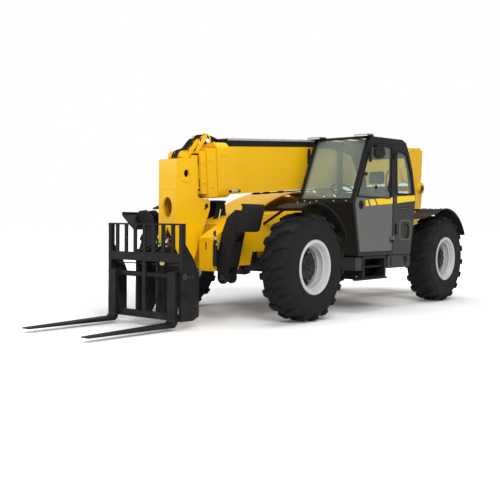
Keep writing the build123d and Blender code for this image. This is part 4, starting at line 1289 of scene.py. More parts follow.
@dataclass
class Tyre:
    """A cleated off-road tyre: smooth carcass, ribbed sidewalls and chevron lugs on both shoulders."""

    bench: Bench
    radius: float = 0.685
    tread: float = 0.650
    lug_root: float = 0.612
    lugs: int = 18
    steps: int = 108
    tip: float = 0.078
    lug_taper: Point = (0.93, 0.86, 1.0)
    lug_middle: Pair = (0.105, 0.012)
    lug_round: float = 0.006
    flank: float = 0.150
    flank_width: float = 0.049
    flank_drop: float = 0.034
    crown_drop: float = 0.004

    def carcass(self) -> Piece:
        """The tyre without its lugs, its axis along Y.

        Returns:
            The carcass.
        """
        half = (
            (0.306, -0.148), (0.345, -0.168), (0.349, -0.190), (0.362, -0.1945), (0.372, -0.1945),
            (0.377, -0.199), (0.388, -0.1995), (0.394, -0.1955), (0.430, -0.198), (0.480, -0.199),
            (0.530, -0.1975), (0.545, -0.1965), (0.549, -0.1995), (0.557, -0.1985), (0.561, -0.1935),
            (0.590, -0.187), (0.615, -0.177), (0.634, -0.161), (0.645, -0.138), (self.tread, -0.10),
            (self.tread + 0.002, -0.03),
        )
        profile = (*half, *((r, -h) for r, h in reversed(half)))
        return self.bench.turned(profile, self.steps, axis=(0, 1, 0), angle=40.0)

    def bend(self, place: Vector) -> tuple[float, float, float]:
        """Bends a point of a flat lug round the tread and drops it over the shoulder.

        Args:
            place: Across the tread, along it, and from the axle.

        Returns:
            The bent point.
        """
        across, around, height = place
        shoulder = max(0.0, (abs(across) - self.flank) / self.flank_width)
        rise = (height - self.lug_root) / (self.radius - self.lug_root)
        crown = self.crown_drop * (across / self.flank) ** 2 * rise
        radial = height - self.flank_drop * shoulder**1.6 * rise - crown
        angle = around / self.radius
        return (radial * math.cos(angle), across, radial * math.sin(angle))

    def lug(self) -> Piece:
        """One lug in place on the carcass, at angle 0, bent round the tread.

        Returns:
            The lug.
        """
        foot = (
            (0.003, -0.080), (0.058, -0.046), (0.122, -0.020), (0.196, -0.012), (0.199, 0.030),
            (0.196, 0.082), (0.120, 0.077), (0.050, 0.045), (0.003, -0.002),
        )
        corners = [(h, t, self.lug_root) for h, t in foot]
        piece = self.bench.prism(corners, (0, 0, self.radius - self.lug_root))
        self.bench.edit(piece)
        self.bench.pick(piece, lambda centre, normal: normal.z > 0.9)
        bpy.ops.transform.resize(value=self.lug_taper, center_override=(*self.lug_middle, self.radius))
        self.bench.pick(piece, lambda centre, normal: centre.x > 0.17 and normal.x > 0.5)
        bpy.ops.mesh.subdivide(number_cuts=1)
        self.bench.leave()
        self.bench.bevel(piece, self.lug_round, 2, 40.0)
        self.bench.modify(piece, "TRIANGULATE")
        for vertex in piece.data.vertices:
            vertex.co = self.bend(vertex.co)
        self.bench.tidy(piece)
        self.bench.smooth(piece, 32.0)
        return piece

    def build(self) -> Piece:
        """The whole tyre, its middle at the origin and its axis along Y.

        Returns:
            The tyre.
        """
        start = -math.atan2(self.tip, self.radius) - math.pi / 2
        pitch = math.tau / self.lugs
        places = []
        for half, offset in ((Matrix.Identity(4), 0.0), (Matrix.Rotation(math.pi, 4, "X"), 0.5)):
            for index in range(self.lugs):
                places.append(Matrix.Rotation(-(start + pitch * (index + offset)), 4, "Y") @ half)
        return self.bench.join([self.carcass(), self.bench.copies(self.lug(), places)])


@dataclass
class Hub:
    """What sits in a rim: the planetary drive's casting, its bolts, the wheel nuts, and the rim's rings; the
    casting's wide dark flange over the rim's disc is painted shade.
    """

    bench: Bench
    fasteners: Fasteners
    nuts: int = 12
    nut_ring: float = 0.212
    nut_size: float = 0.030
    bolts: int = 10
    bolt_ring: float = 0.136

    def spokes(
        self, corners: Sequence[Point], rise: float, width: float, turns: Sequence[float]
    ) -> Piece:
        """One raised piece copied round the hub, by its foot, height, rounding and the copies' angles."""
        model = self.bench.prism(corners, (0, 0, rise), width)
        return self.bench.copies(model, [Matrix.Rotation(turn, 4, "Z") for turn in turns])

    def casting(self) -> Piece:
        """The drive's dark cover, which caps the rim's drum and its disc; its wide flange over the rim's
        recessed disc is painted shade of the deep dish.

        Returns:
            The casting.
        """
        profile = (
            (0, 0.120), (0.034, 0.120), (0.040, 0.116), (0.043, 0.104), (0.094, 0.098), (0.104, 0.092),
            (0.110, 0.084), (0.155, 0.082), (0.160, 0.077), (0.160, 0.040), (0.166, 0.034), (0.166, 0.004),
            (0.182, -0.004), (0.250, -0.008), (0.258, -0.014), (0.258, -0.019), (0.1515, -0.019),
            (0.1515, 0.076), (0, 0.076),
        )
        body = self.bench.turned(profile, 64, angle=30.0)
        rib = ((0.045, -0.006, 0.095), (0.098, -0.009, 0.088), (0.098, 0.009, 0.088), (0.045, 0.006, 0.095))
        ribs = self.spokes(rib, 0.014, 0.003, angles(5))
        foot = [(x, y, -0.012) for x, y in ((0.164, -0.012), (0.236, -0.016), (0.236, 0.016), (0.164, 0.012))]
        feet = self.spokes(foot, 0.018, 0.004, angles(6, 0.5))
        return self.bench.join([body, ribs, feet])

    def ring(self, radius: float, height: float, count: int, facing: bool) -> list[Matrix]:
        """Places round the hub.

        Args:
            radius: Of their circle.
            height: Along the axis.
            count: How many.
            facing: Whether each is turned with its place, or all are one way.

        Returns:
            The placing matrices.
        """
        return [
            at((radius * math.cos(a), radius * math.sin(a), height), turn=a if facing else 0.0)
            for a in angles(count)
        ]

    def fittings(self) -> Piece:
        """Cover bolts and the two plugs.

        Returns:
            All of them.
        """
        spots = self.ring(self.bolt_ring, 0.082, self.bolts, False)
        bolts = self.bench.copies(self.fasteners.bolt(0.020), spots)
        plugs = self.bench.copies(self.fasteners.bolt(0.030), [at((x, 0, 0.097)) for x in (0.072, -0.072)])
        return self.bench.join([bolts, plugs])

    def wheel_nuts(self) -> Piece:
        """The ring of wheel nuts."""
        spots = self.ring(self.nut_ring, -0.009, self.nuts, True)
        return self.bench.copies(self.fasteners.wheel_nut(self.nut_size), spots)

    def rings(self) -> Piece:
        """The rim's two rolled steps and its lock ring.

        Returns:
            All three.
        """
        profiles = (
            ((0.2690, 0.026), (0.2715, 0.052), (0.2600, 0.049), (0.2560, 0.041), (0.2580, 0.031)),
            ((0.2755, 0.104), (0.2850, 0.134), (0.2700, 0.130), (0.2655, 0.120), (0.2670, 0.108)),
            ((0.3040, 0.186), (0.3380, 0.186), (0.3380, 0.194), (0.3330, 0.1975), (0.3130, 0.1975),
             (0.3060, 0.193)),
        )
        return self.bench.join([self.bench.turned(profile, 72, angle=30.0) for profile in profiles])


class Wheels(Dress):
    """All four tyres and hubs in place."""

    def build(self) -> None:
        """Models one tyre and one hub and sets them at each corner."""
        hub = Hub(self.bench, self.fasteners)
        tyre = Tyre(self.bench).build()
        models = (
            # The hub cover's wide dark flange over the rim's disc is painted shade.
            ("hub_casting", hub.casting(), Slot.IRON, self.finishes.iron),
            ("hub_bolts", hub.fittings(), Slot.IRON, self.finishes.dark_steel),
            ("wheel_nuts", hub.wheel_nuts(), Slot.RIM, self.finishes.zinc),
            ("rim_rings", hub.rings(), Slot.RIM, self.finishes.rim),
        )
        for axle in Axle:
            for side in Side:
                corner = f"{axle.word}_{side.word}"
                middle = (axle.value, side.value * WHEEL_Y, AXLE_HEIGHT)
                body = f"wheel_{corner}"
                piece = self.bench.copies(tyre, [Matrix.Translation(Vector(middle))], keep=True)
                self.bench.finish(piece, f"cleated_tyre_{corner}", body, Slot.TYRE)
                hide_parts(f"tyre_{corner}")
                place = at(middle, (0, side.value, 0))
                for name, model, slot, material in models:
                    piece = self.bench.copies(model, [place], keep=True)
                    self.bench.finish(piece, f"{name}_{corner}", body, slot, material)
        for model in (tyre, *(entry[1] for entry in models)):
            bpy.data.objects.remove(model)


# --- boom -------------------------------------------------------------------


@dataclass
class BoomLine:
    """The lowered boom's centre line and what is measured from it."""

    start: Point = (-3.733, 0.0, 2.286)
    slope: float = 4.3

    def aim(self, along: float, up: float) -> Vector:
        """A step from the line.

        Args:
            along: Metres along it.
            up: Metres above it.

        Returns:
            The step.
        """
        tilt = math.radians(self.slope)
        run = Vector((math.cos(tilt), 0, -math.sin(tilt)))
        return run * along + Vector((math.sin(tilt), 0, math.cos(tilt))) * up

    def point(self, along: float, y: float, up: float) -> Vector:
        """A place along, beside and above the centre line."""
        return Vector(self.start) + self.aim(along, up) + Vector((0, y, 0))

    def block(self, bench: Bench, low: Point, high: Point, width: float = 0.003) -> Piece:
        """A block whose corners are given along, beside and above the line.

        Args:
            bench: What it is made on.
            low: Its lowest corner.
            high: Its highest corner.
            width: Rounding.

        Returns:
            The block.
        """
        piece = bench.block(low, high, width)
        tilt = Matrix.Rotation(math.radians(self.slope), 4, "Y")
        piece.data.transform(Matrix.Translation(Vector(self.start)) @ tilt)
        return piece


@dataclass
class BoomDress(Dress):
    """Bolts, wear pads, hoses, tray lid, seams and pin ends of the four sections and the head."""

    line: BoomLine
    hose: float = 0.011
    pipe: float = 0.009
    bolt: float = 0.018

    def run(self, way: Sequence[Point], radius: float, sides: int = 3) -> Piece:
        """A straight-sided pipe by points along, beside and above the boom's line."""
        return self.bench.tube([self.line.point(*spot) for spot in way], radius, 2, sides)

    def collar_bolts(self) -> None:
        """Pairs of wear-pad bolts at two heights on both sides of each collar, and two on top."""
        for name, body, middle, spread, half, heights, top in (
            ("outer", "boom_1", 5.252, 0.030, 0.215, (0.190, -0.235), 0.360),
            ("second", "boom_2", 5.470, 0.030, 0.198, (0.130, -0.200), 0.285),
            ("third", "boom_3", 5.596, 0.022, 0.176, (0.090, -0.150), 0.250),
        ):
            alongs = (middle - spread, middle + spread)
            places = both_sides([self.line.point(along, half, up) for up in heights for along in alongs])
            places += [at(self.line.point(middle, y, top), self.line.aim(0, 1)) for y in (-0.06, 0.06)]
            self.bench.finish(self.bolts(self.bolt, places), f"wear_pad_bolts_{name}", body, Slot.YELLOW)

    def wear_pads(self) -> None:
        """Slim pads that show between one section's collar and the next section."""
        for name, body, front, inner, half, heights in (
            ("outer", "boom_1", 5.370, 0.178, 0.186, (0.6 * 0.290, -0.6 * 0.290)),
            ("second", "boom_2", 5.540, 0.155, 0.165, (0.6 * 0.248, -0.6 * 0.268)),
            ("third", "boom_3", 5.640, 0.130, 0.142, (0.6 * 0.220, -0.6 * 0.240)),
        ):
            x0, x1 = front - 0.08, front + 0.002
            pads = [
                self.line.block(self.bench, (x0, y0, up - 0.05), (x1, y1, up + 0.05), 0.002)
                for y0, y1 in ((inner, half), (-half, -inner))
                for up in heights
            ]
            self.bench.finish(pads, f"wear_pads_{name}", body, Slot.PLASTIC)

    def tray(self) -> None:
        """The tray's pale lid with its bolts."""
        lid = self.line.block(self.bench, (2.600, -0.153, 0.388), (5.080, 0.153, 0.417))
        self.bench.finish(lid, "hose_tray_lid", "boom_1", Slot.RIM, self.finishes.pale)
        spots = [self.line.point(2.72 + 0.37 * k, y, 0.4165) for k in range(7) for y in (-0.125, 0.125)]
        bolts = self.bolts(0.014, [at(spot, self.line.aim(0, 1)) for spot in spots])
        self.bench.finish(bolts, "tray_lid_bolts", "boom_1", Slot.RIM, self.finishes.zinc)

    def hoses(self) -> None:
        """Hoses that leave the tray under the hoop, cross the arms and run into the head."""
        outer = (
            (5.02, 0.350), (5.12, 0.385), (5.25, 0.432), (5.34, 0.452), (5.40, 0.425), (5.40, 0.375),
            (5.355, 0.345),
        )
        third = ((5.400, 0.440), (5.450, 0.462), (5.510, 0.430), (5.565, 0.330), (5.600, 0.244))
        head = (
            (1.800, 2.262), (1.850, 2.282), (1.915, 2.240), (2.010, 2.135), (2.100, 2.116), (2.170, 2.080),
            (2.190, 2.015),
        )
        for name, body, route, gap, to in (
            ("boom_1", "boom_1", outer, 0.036, self.line.point),
            ("boom_3", "boom_3", third, 0.036, self.line.point),
            ("head", "boom_4", head, 0.034, lambda x, y, z: (x, y, z)),
        ):
            ways = [[to(along, y, up) for along, up in route] for y in (-gap, 0.0, gap)]
            tubes = [self.bench.tube(way, self.hose) for way in ways]
            self.bench.finish(tubes, f"hose_loop_{name}", body, Slot.PLASTIC, self.finishes.hose)

    def side_gear(self) -> None:
        """The small gauge rod on the collar, the clips under the boom and the pipes that they hold."""
        rod = self.run([(along, 0.226, -0.268) for along in (4.985, 5.05, 5.150)], self.pipe)
        self.bench.finish(rod, "gauge_rod", "boom_1", Slot.RIM, self.finishes.pale)
        for name, places, low, high, width in (
            ("gauge_rod_ends", (4.965, 5.140), (0.200, -0.283), (0.03, 0.240, -0.253), 0.004),
            ("hose_clips", (4.50, 4.28, 3.96, 3.40, 2.80), (0.120, -0.335), (0.07, 0.190, -0.305), 0.006),
        ):
            blocks = [self.line.block(self.bench, (a, *low), (a + high[0], *high[1:]), width) for a in places]
            self.bench.finish(blocks, name, "boom_1", Slot.PLASTIC)
        ways = [[(along, y, -0.322) for along in (2.70, 3.4, 4.0, 4.62)] for y in (0.140, 0.168)]
        runs = [self.run(way, self.pipe, 2) for way in ways]
        self.bench.finish(runs, "underside_pipes", "boom_1", Slot.PLASTIC, self.finishes.hose)

    def head(self) -> None:
        """The head's seams, pin ends, ring welds and the guide's rings."""
        face = 2.2975
        seams = [self.bench.tube([(face, y, 1.628) for y in (-0.150, 0.150)], 0.003, 2, 2)]
        for y in (0.100, -0.100):
            seams.append(self.bench.tube([(face, y, z) for z in (1.620, 1.000)], 0.0025, 2, 2))
        turns = [math.tau * k / 36 for k in range(37)]
        oval = [(face, 0.084 * math.sin(a), 1.410 + 0.126 * math.cos(a)) for a in turns]
        seams.append(self.bench.tube(oval, 0.005, 2, 3, 1))
        self.bench.finish(seams, "head_seams", "boom_4", Slot.YELLOW)
        cap = self.fasteners.pin_cap(0.028, 0.014)
        caps = self.bench.copies(cap, both_sides([(1.762, 0.150, 1.438)], 1.0))
        self.bench.finish(caps, "tilt_pin_ends", "boom_4", Slot.BLACK, self.finishes.dark_steel)
        ring = ((0.0605, -0.003), (0.067, -0.003), (0.067, 0.003), (0.0605, 0.003))
        rings = [
            self.bench.turned(ring, 40, (2.105, y, 2.040), (0, 1, 0))
            for y in (-0.118, -0.07, -0.024, 0.024, 0.07, 0.118)
        ]
        self.bench.finish(rings, "guide_rings", "boom_4", Slot.YELLOW)

    def rear(self) -> None:
        """Ends of the boom's rear pin with their keepers, and the cover on the boom's rear end."""
        cap = self.fasteners.pin_cap(0.048, 0.018)
        caps = self.bench.copies(cap, both_sides([(-3.733, 0.330, 1.870)], 0.9))
        self.bench.finish(caps, "rear_pin_ends", "boom_1", Slot.BLACK, self.finishes.dark_steel)
        cover = self.line.block(self.bench, (-0.194, -0.185, -0.285), (-0.188, 0.185, 0.285), 0.002)
        self.bench.finish(cover, "boom_rear_cover", "boom_1", Slot.BLACK)
        spots = [self.line.point(-0.194, y, up) for y in (-0.165, 0.165) for up in (-0.26, -0.09, 0.09, 0.26)]
        bolts = self.bolts(self.bolt, [at(spot, self.line.aim(-1, 0)) for spot in spots])
        self.bench.finish(bolts, "rear_cover_bolts", "boom_1", Slot.BLACK, self.finishes.zinc)

    def build(self) -> None:
        """Builds it all."""
        for step in (
            self.collar_bolts, self.wear_pads, self.tray, self.hoses, self.side_gear, self.head, self.rear,
        ):
            step()


@dataclass
class Ram(Dress):
    """One hydraulic cylinder's pipe with its bands and ports, and the gland's bolts."""

    name: str
    base: Point
    eye: Point
    radius: float
    gap: float
    side: Point
    pipe: float = 0.009
    sunk: float = 0.006
    band: Pair = (0.004, 0.012)

    def build(self) -> None:
        """Builds the trim along the barrel, which is a body of the same name."""
        base, eye = Vector(self.base), Vector(self.eye)
        run = (eye - base).normalized()
        end = (eye - base).length - self.gap
        out = Vector(self.side).normalized()
        off = self.radius + self.pipe + 0.002
        near, far = 0.20 * end, end - 0.07
        low, lifted = self.radius - 0.004, off + 0.012
        route = [
            base + run * along + out * rise
            for along, rise in (
                (near, low), (near, lifted), (near + 0.035, off), (0.5 * (near + far), off),
                (far - 0.035, off), (far, lifted), (far, low),
            )
        ]
        pipe = self.bench.tube(route, self.pipe)
        r0, r1, half = self.radius - 0.001, self.radius + self.band[0], self.band[1]
        band = ((r0, -half), (r1, -half), (r1, half), (r0, half))
        bands = [
            self.bench.turned(band, 32, base + run * (near + share * (far - near)), run)
            for share in (0.35, 0.65)
        ]
        across = run.cross(out)
        rim = self.radius - self.sunk
        places = [at(base + run * place + out * rim, out) for place in (near, far)]
        ports = self.bench.copies(self.fasteners.fitting(self.pipe, 0.034), places)
        spokes = [out * math.cos(a) + across * math.sin(a) for a in angles(8, 0.5)]
        bolts = self.bolts(0.16 * self.radius, [at(base + run * end + spoke * rim, run) for spoke in spokes])
        steel, zinc = self.finishes.dark_steel, self.finishes.zinc
        for part, pieces, material in (
            ("pipe", pipe, steel),
            ("bands", bands, zinc),
            ("ports", ports, zinc),
            ("gland_bolts", bolts, zinc),
        ):
            self.put(pieces, f"{self.name}_{part}", material=material, body=self.name)


# --- cab --------------------------------------------------------------------


@dataclass
class CabDress(Dress):
    """Seals, stripe, lock, handles, lamps, mirror, rear pane, cowl and ribs on the cab."""

    wall: float = 1.220
    right: float = 0.300
    pane: float = 1.204
    bead: float = 0.009

    def on_wall(self, outline: Sequence[Pair], y: float) -> list[Vector]:
        """An outline given by X and Z, at one Y."""
        return [Vector((x, y, z)) for x, z in outline]

    def panel(
        self, outline: Sequence[Pair], y: float, depth: float, width: float, segments: int = 2
    ) -> Piece:
        """A plate given by X and Z that stands out by a depth from one Y."""
        return self.bench.prism(self.on_wall(outline, y), (0, depth, 0), width, segments)

    def seal(self, outline: Sequence[Pair], y: float, radius: float) -> Piece:
        """A rubber bead along a rounded outline."""
        return self.bench.loop(corners_rounded(self.on_wall(outline, y), radius), self.bead)

    def seals(self) -> None:
        """All window seals."""
        door = ((-0.095, 1.600), (-0.425, 2.315), (-1.010, 2.338), (-1.010, 1.600))
        bead = self.seal(door, self.wall, 0.05)
        self.bench.finish(bead, "door_window_seal", "cab_door", Slot.PLASTIC, self.finishes.seal)
        quarter = (
            (-1.190, 1.680), (-1.160, 2.290), (-1.400, 2.290), (-1.480, 2.230), (-1.600, 1.990),
            (-1.690, 1.680),
        )
        front = ((-0.090, 1.620), (-0.400, 2.330), (-1.000, 2.350), (-1.000, 1.620))
        back = ((-1.100, 1.700), (-1.100, 2.330), (-1.400, 2.290), (-1.600, 1.990), (-1.680, 1.700))
        windows = ((quarter, self.wall, 0.03), (front, self.right, 0.05), (back, self.right, 0.03))
        beads = [self.seal(*window) for window in windows]
        self.put(beads, "side_window_seals", Slot.PLASTIC, self.finishes.seal)

    def stripe(self) -> None:
        """The belt stripe on door and quarter, the door's part crossed by two dark slashes."""
        skin = 0.003
        door = (
            ((-0.304, 1.559), (-0.307, 1.473), (-0.400, 1.482), (-0.350, 1.563)),
            ((-0.395, 1.567), (-0.447, 1.486), (-0.600, 1.498), (-0.532, 1.579)),
            ((-0.575, 1.583), (-0.645, 1.501), (-1.056, 1.526), (-1.056, 1.618)),
        )
        quarter = (((-1.192, 1.635), (-1.195, 1.538), (-1.748, 1.586), (-1.748, 1.672)),)
        for name, body, plates in (("door", "cab_door", door), ("quarter", "chassis", quarter)):
            made = [self.panel(plate, self.wall, skin, 0.001, 1) for plate in plates]
            self.put(made, f"belt_stripe_{name}", Slot.YELLOW, self.finishes.stripe, body)

    def door_gear(self) -> None:
        """Lock, knobs, latch, grab rail and the oval mirror on the door."""
        wall = self.wall
        rose = (
            (0, 0.020), (0.030, 0.020), (0.034, 0.016), (0.036, 0.006), (0.058, 0.005), (0.064, 0), (0, 0),
        )
        lock = self.bench.turned(rose, 36, (-0.191, wall, 1.491), (0, 1, 0))
        pull = self.bench.block((-0.204, wall, 1.478), (-0.178, wall + 0.028, 1.504), 0.004)
        knob = (
            (0, 0.026), (0.018, 0.026), (0.026, 0.019), (0.027, 0.006), (0.017, 0.004), (0.017, 0), (0, 0),
        )
        spots = ((-0.316, 1.919), (-0.593, 1.750))
        knobs = [self.bench.turned(knob, 24, (x, self.pane, z), (0, 1, 0)) for x, z in spots]
        tongue = ((-0.950, 1.70), (-0.955, 1.85), (-0.975, 1.86), (-0.985, 1.69))
        latch = self.panel(tongue, self.pane, 0.024, 0.006)
        oval = [(-0.61 + 0.140 * math.cos(a), 2.232 + 0.088 * math.sin(a)) for a in angles(32)]
        shell = self.panel(oval, 1.232, 0.036, 0.012, 3)
        stem = self.bench.tube([(-0.56, 1.216, 2.352), (-0.56, 1.240, 2.335), (-0.565, 1.246, 2.270)], 0.008)
        foot = self.bench.block((-0.590, 1.210, 2.338), (-0.530, 1.226, 2.366), 0.004)
        bow = ((1.193, 1.62), (1.150, 1.64), (1.150, 1.98), (1.193, 2.0))
        rail = self.bench.tube([(-0.985, y, z) for y, z in bow], 0.011)
        leaves = [
            self.bench.block((-1.052, wall, z - 0.035), (-1.000, wall + 0.006, z + 0.035), 0.002)
            for z in (1.0, 2.2)
        ]
        for name, pieces, slot in (
            ("door_lock", [lock, pull], Slot.PLASTIC),
            ("glass_knobs", knobs, Slot.PLASTIC),
            ("glass_latch", latch, Slot.PLASTIC),
            ("wide_angle_mirror", [shell, stem, foot], Slot.PLASTIC),
            ("door_rail", rail, Slot.PLASTIC),
            ("door_hinge_leaves", leaves, Slot.BLACK),
        ):
            self.put(pieces, name, slot, body="cab_door")

    def rear_lower(self) -> None:
        """The pressed recess with its handle, the latch and the louvre's slats."""
        wall = self.wall
        recess = ((-1.288, 1.006), (-1.288, 1.285), (-1.615, 1.285), (-1.615, 1.006))
        rim = self.bench.loop(corners_rounded(self.on_wall(recess, wall), 0.06), 0.010)
        self.put(rim, "recess_rim", Slot.GREY)
        bow = ((0, 1.030), (0.034, 1.045), (0.036, 1.13), (0.034, 1.22), (0, 1.235))
        pull = self.bench.tube([(-1.49, wall + out, z) for out, z in bow], 0.012, 3, 4)
        self.put(pull, "side_handle", Slot.PLASTIC)
        latch = ((-1.150, 1.08), (-1.150, 1.24), (-1.176, 1.24), (-1.176, 1.08))
        self.put(self.panel(latch, wall, 0.022, 0.006), "side_latch", Slot.PLASTIC)
        section = ((-0.022, 0), (-0.002, -0.020), (0.002, -0.017), (-0.018, 0.003))
        slats = [
            self.bench.prism([(-1.305, wall + out, z + rise) for out, rise in section], (-0.230, 0, 0))
            for z in (1.420 + 0.046 * k + 0.012 for k in range(-2, 3))
        ]
        self.put(slats, "side_louvre_slats", Slot.GREY)

    def front(self) -> None:
        """Cowl with its bolts, and the bar over the windscreen."""
        section = ((0.017, 1.500), (0.020, 1.512), (-0.014, 1.575), (-0.018, 1.560))
        self.put(self.panel(section, 0.330, 0.86, 0.003), "cowl")
        places = [at((0.008, y, 1.540), (0.9, 0, 0.44)) for y in (0.42, 0.62, 0.90, 1.10)]
        self.put(self.bolts(0.016, places), "cowl_bolts", material=self.finishes.zinc)
        bar = self.bench.block((-0.442, 0.345, 2.418), (-0.400, 1.175, 2.452), 0.008)
        self.put(bar, "windscreen_bar", Slot.CHARCOAL)

    def rear_window(self) -> None:
        """The pane in the cab's rear opening, bent once like the wall, and its seal."""
        line = ((-1.752, 1.690), (-1.650, 2.045), (-1.566, 2.226))
        inner = tuple((x + 0.006, z - 0.001) for x, z in reversed(line))
        self.put(self.panel((*line, *inner), 0.374, 0.772, 0), "rear_window", Slot.GLASS)
        edge = [(x - 0.004, y, z) for y, points in ((0.386, line), (1.134, line[::-1])) for x, z in points]
        bead = self.bench.loop(edge, self.bead)
        self.put(bead, "rear_window_seal", Slot.PLASTIC, self.finishes.seal)

    def lamps(self) -> None:
        """Flat lamps over the windscreen and the tail lamps' housings, which stand for the plain ones."""
        shell = ((-0.430, 2.426), (-0.276, 2.432), (-0.268, 2.452), (-0.430, 2.460))
        cover = ((-0.425, 2.4595), (-0.272, 2.4515), (-0.266, 2.4600), (-0.300, 2.470), (-0.420, 2.476))
        face = ((-0.275, 2.435), (-0.2675, 2.450), (-0.2655, 2.449), (-0.272, 2.434))
        parts, covers, lenses = [], [], []
        for y in (0.370, 1.150):
            parts.append(self.panel(shell, y - 0.110, 0.220, 0.005))
            parts.append(self.bench.block((-0.520, y - 0.030, 2.440), (-0.420, y + 0.030, 2.466), 0.003))
            covers.append(self.panel(cover, y - 0.115, 0.230, 0.004))
            lenses.append(self.panel(face, y - 0.100, 0.200, 0.001, 1))
        parts += [self.sided(side, (-3.957, 0.600, 0.971), (-3.929, 0.780, 1.049), 0.004) for side in Side]
        housing = self.put(parts, "lamp_housings", Slot.PLASTIC)
        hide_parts("lamps")
        self.put(covers, "lamp_covers", Slot.PLASTIC, self.finishes.pale)
        self.put(lenses, "work_lamp_lenses", Slot.PLASTIC, self.finishes.lens)

    def roof(self) -> None:
        """Low ribs pressed in the roof panel."""
        ribs = [
            self.bench.block((-1.32, y - 0.02, 2.448), (-0.62, y + 0.02, 2.474), 0.008)
            for y in (0.50, 0.76, 1.02)
        ]
        self.put(ribs, "roof_ribs", Slot.CHARCOAL)

    def build(self) -> None:
        """Builds it all."""
        for step in (
            self.seals, self.stripe, self.door_gear, self.rear_lower, self.front, self.rear_window,
            self.lamps, self.roof,
        ):
            step()


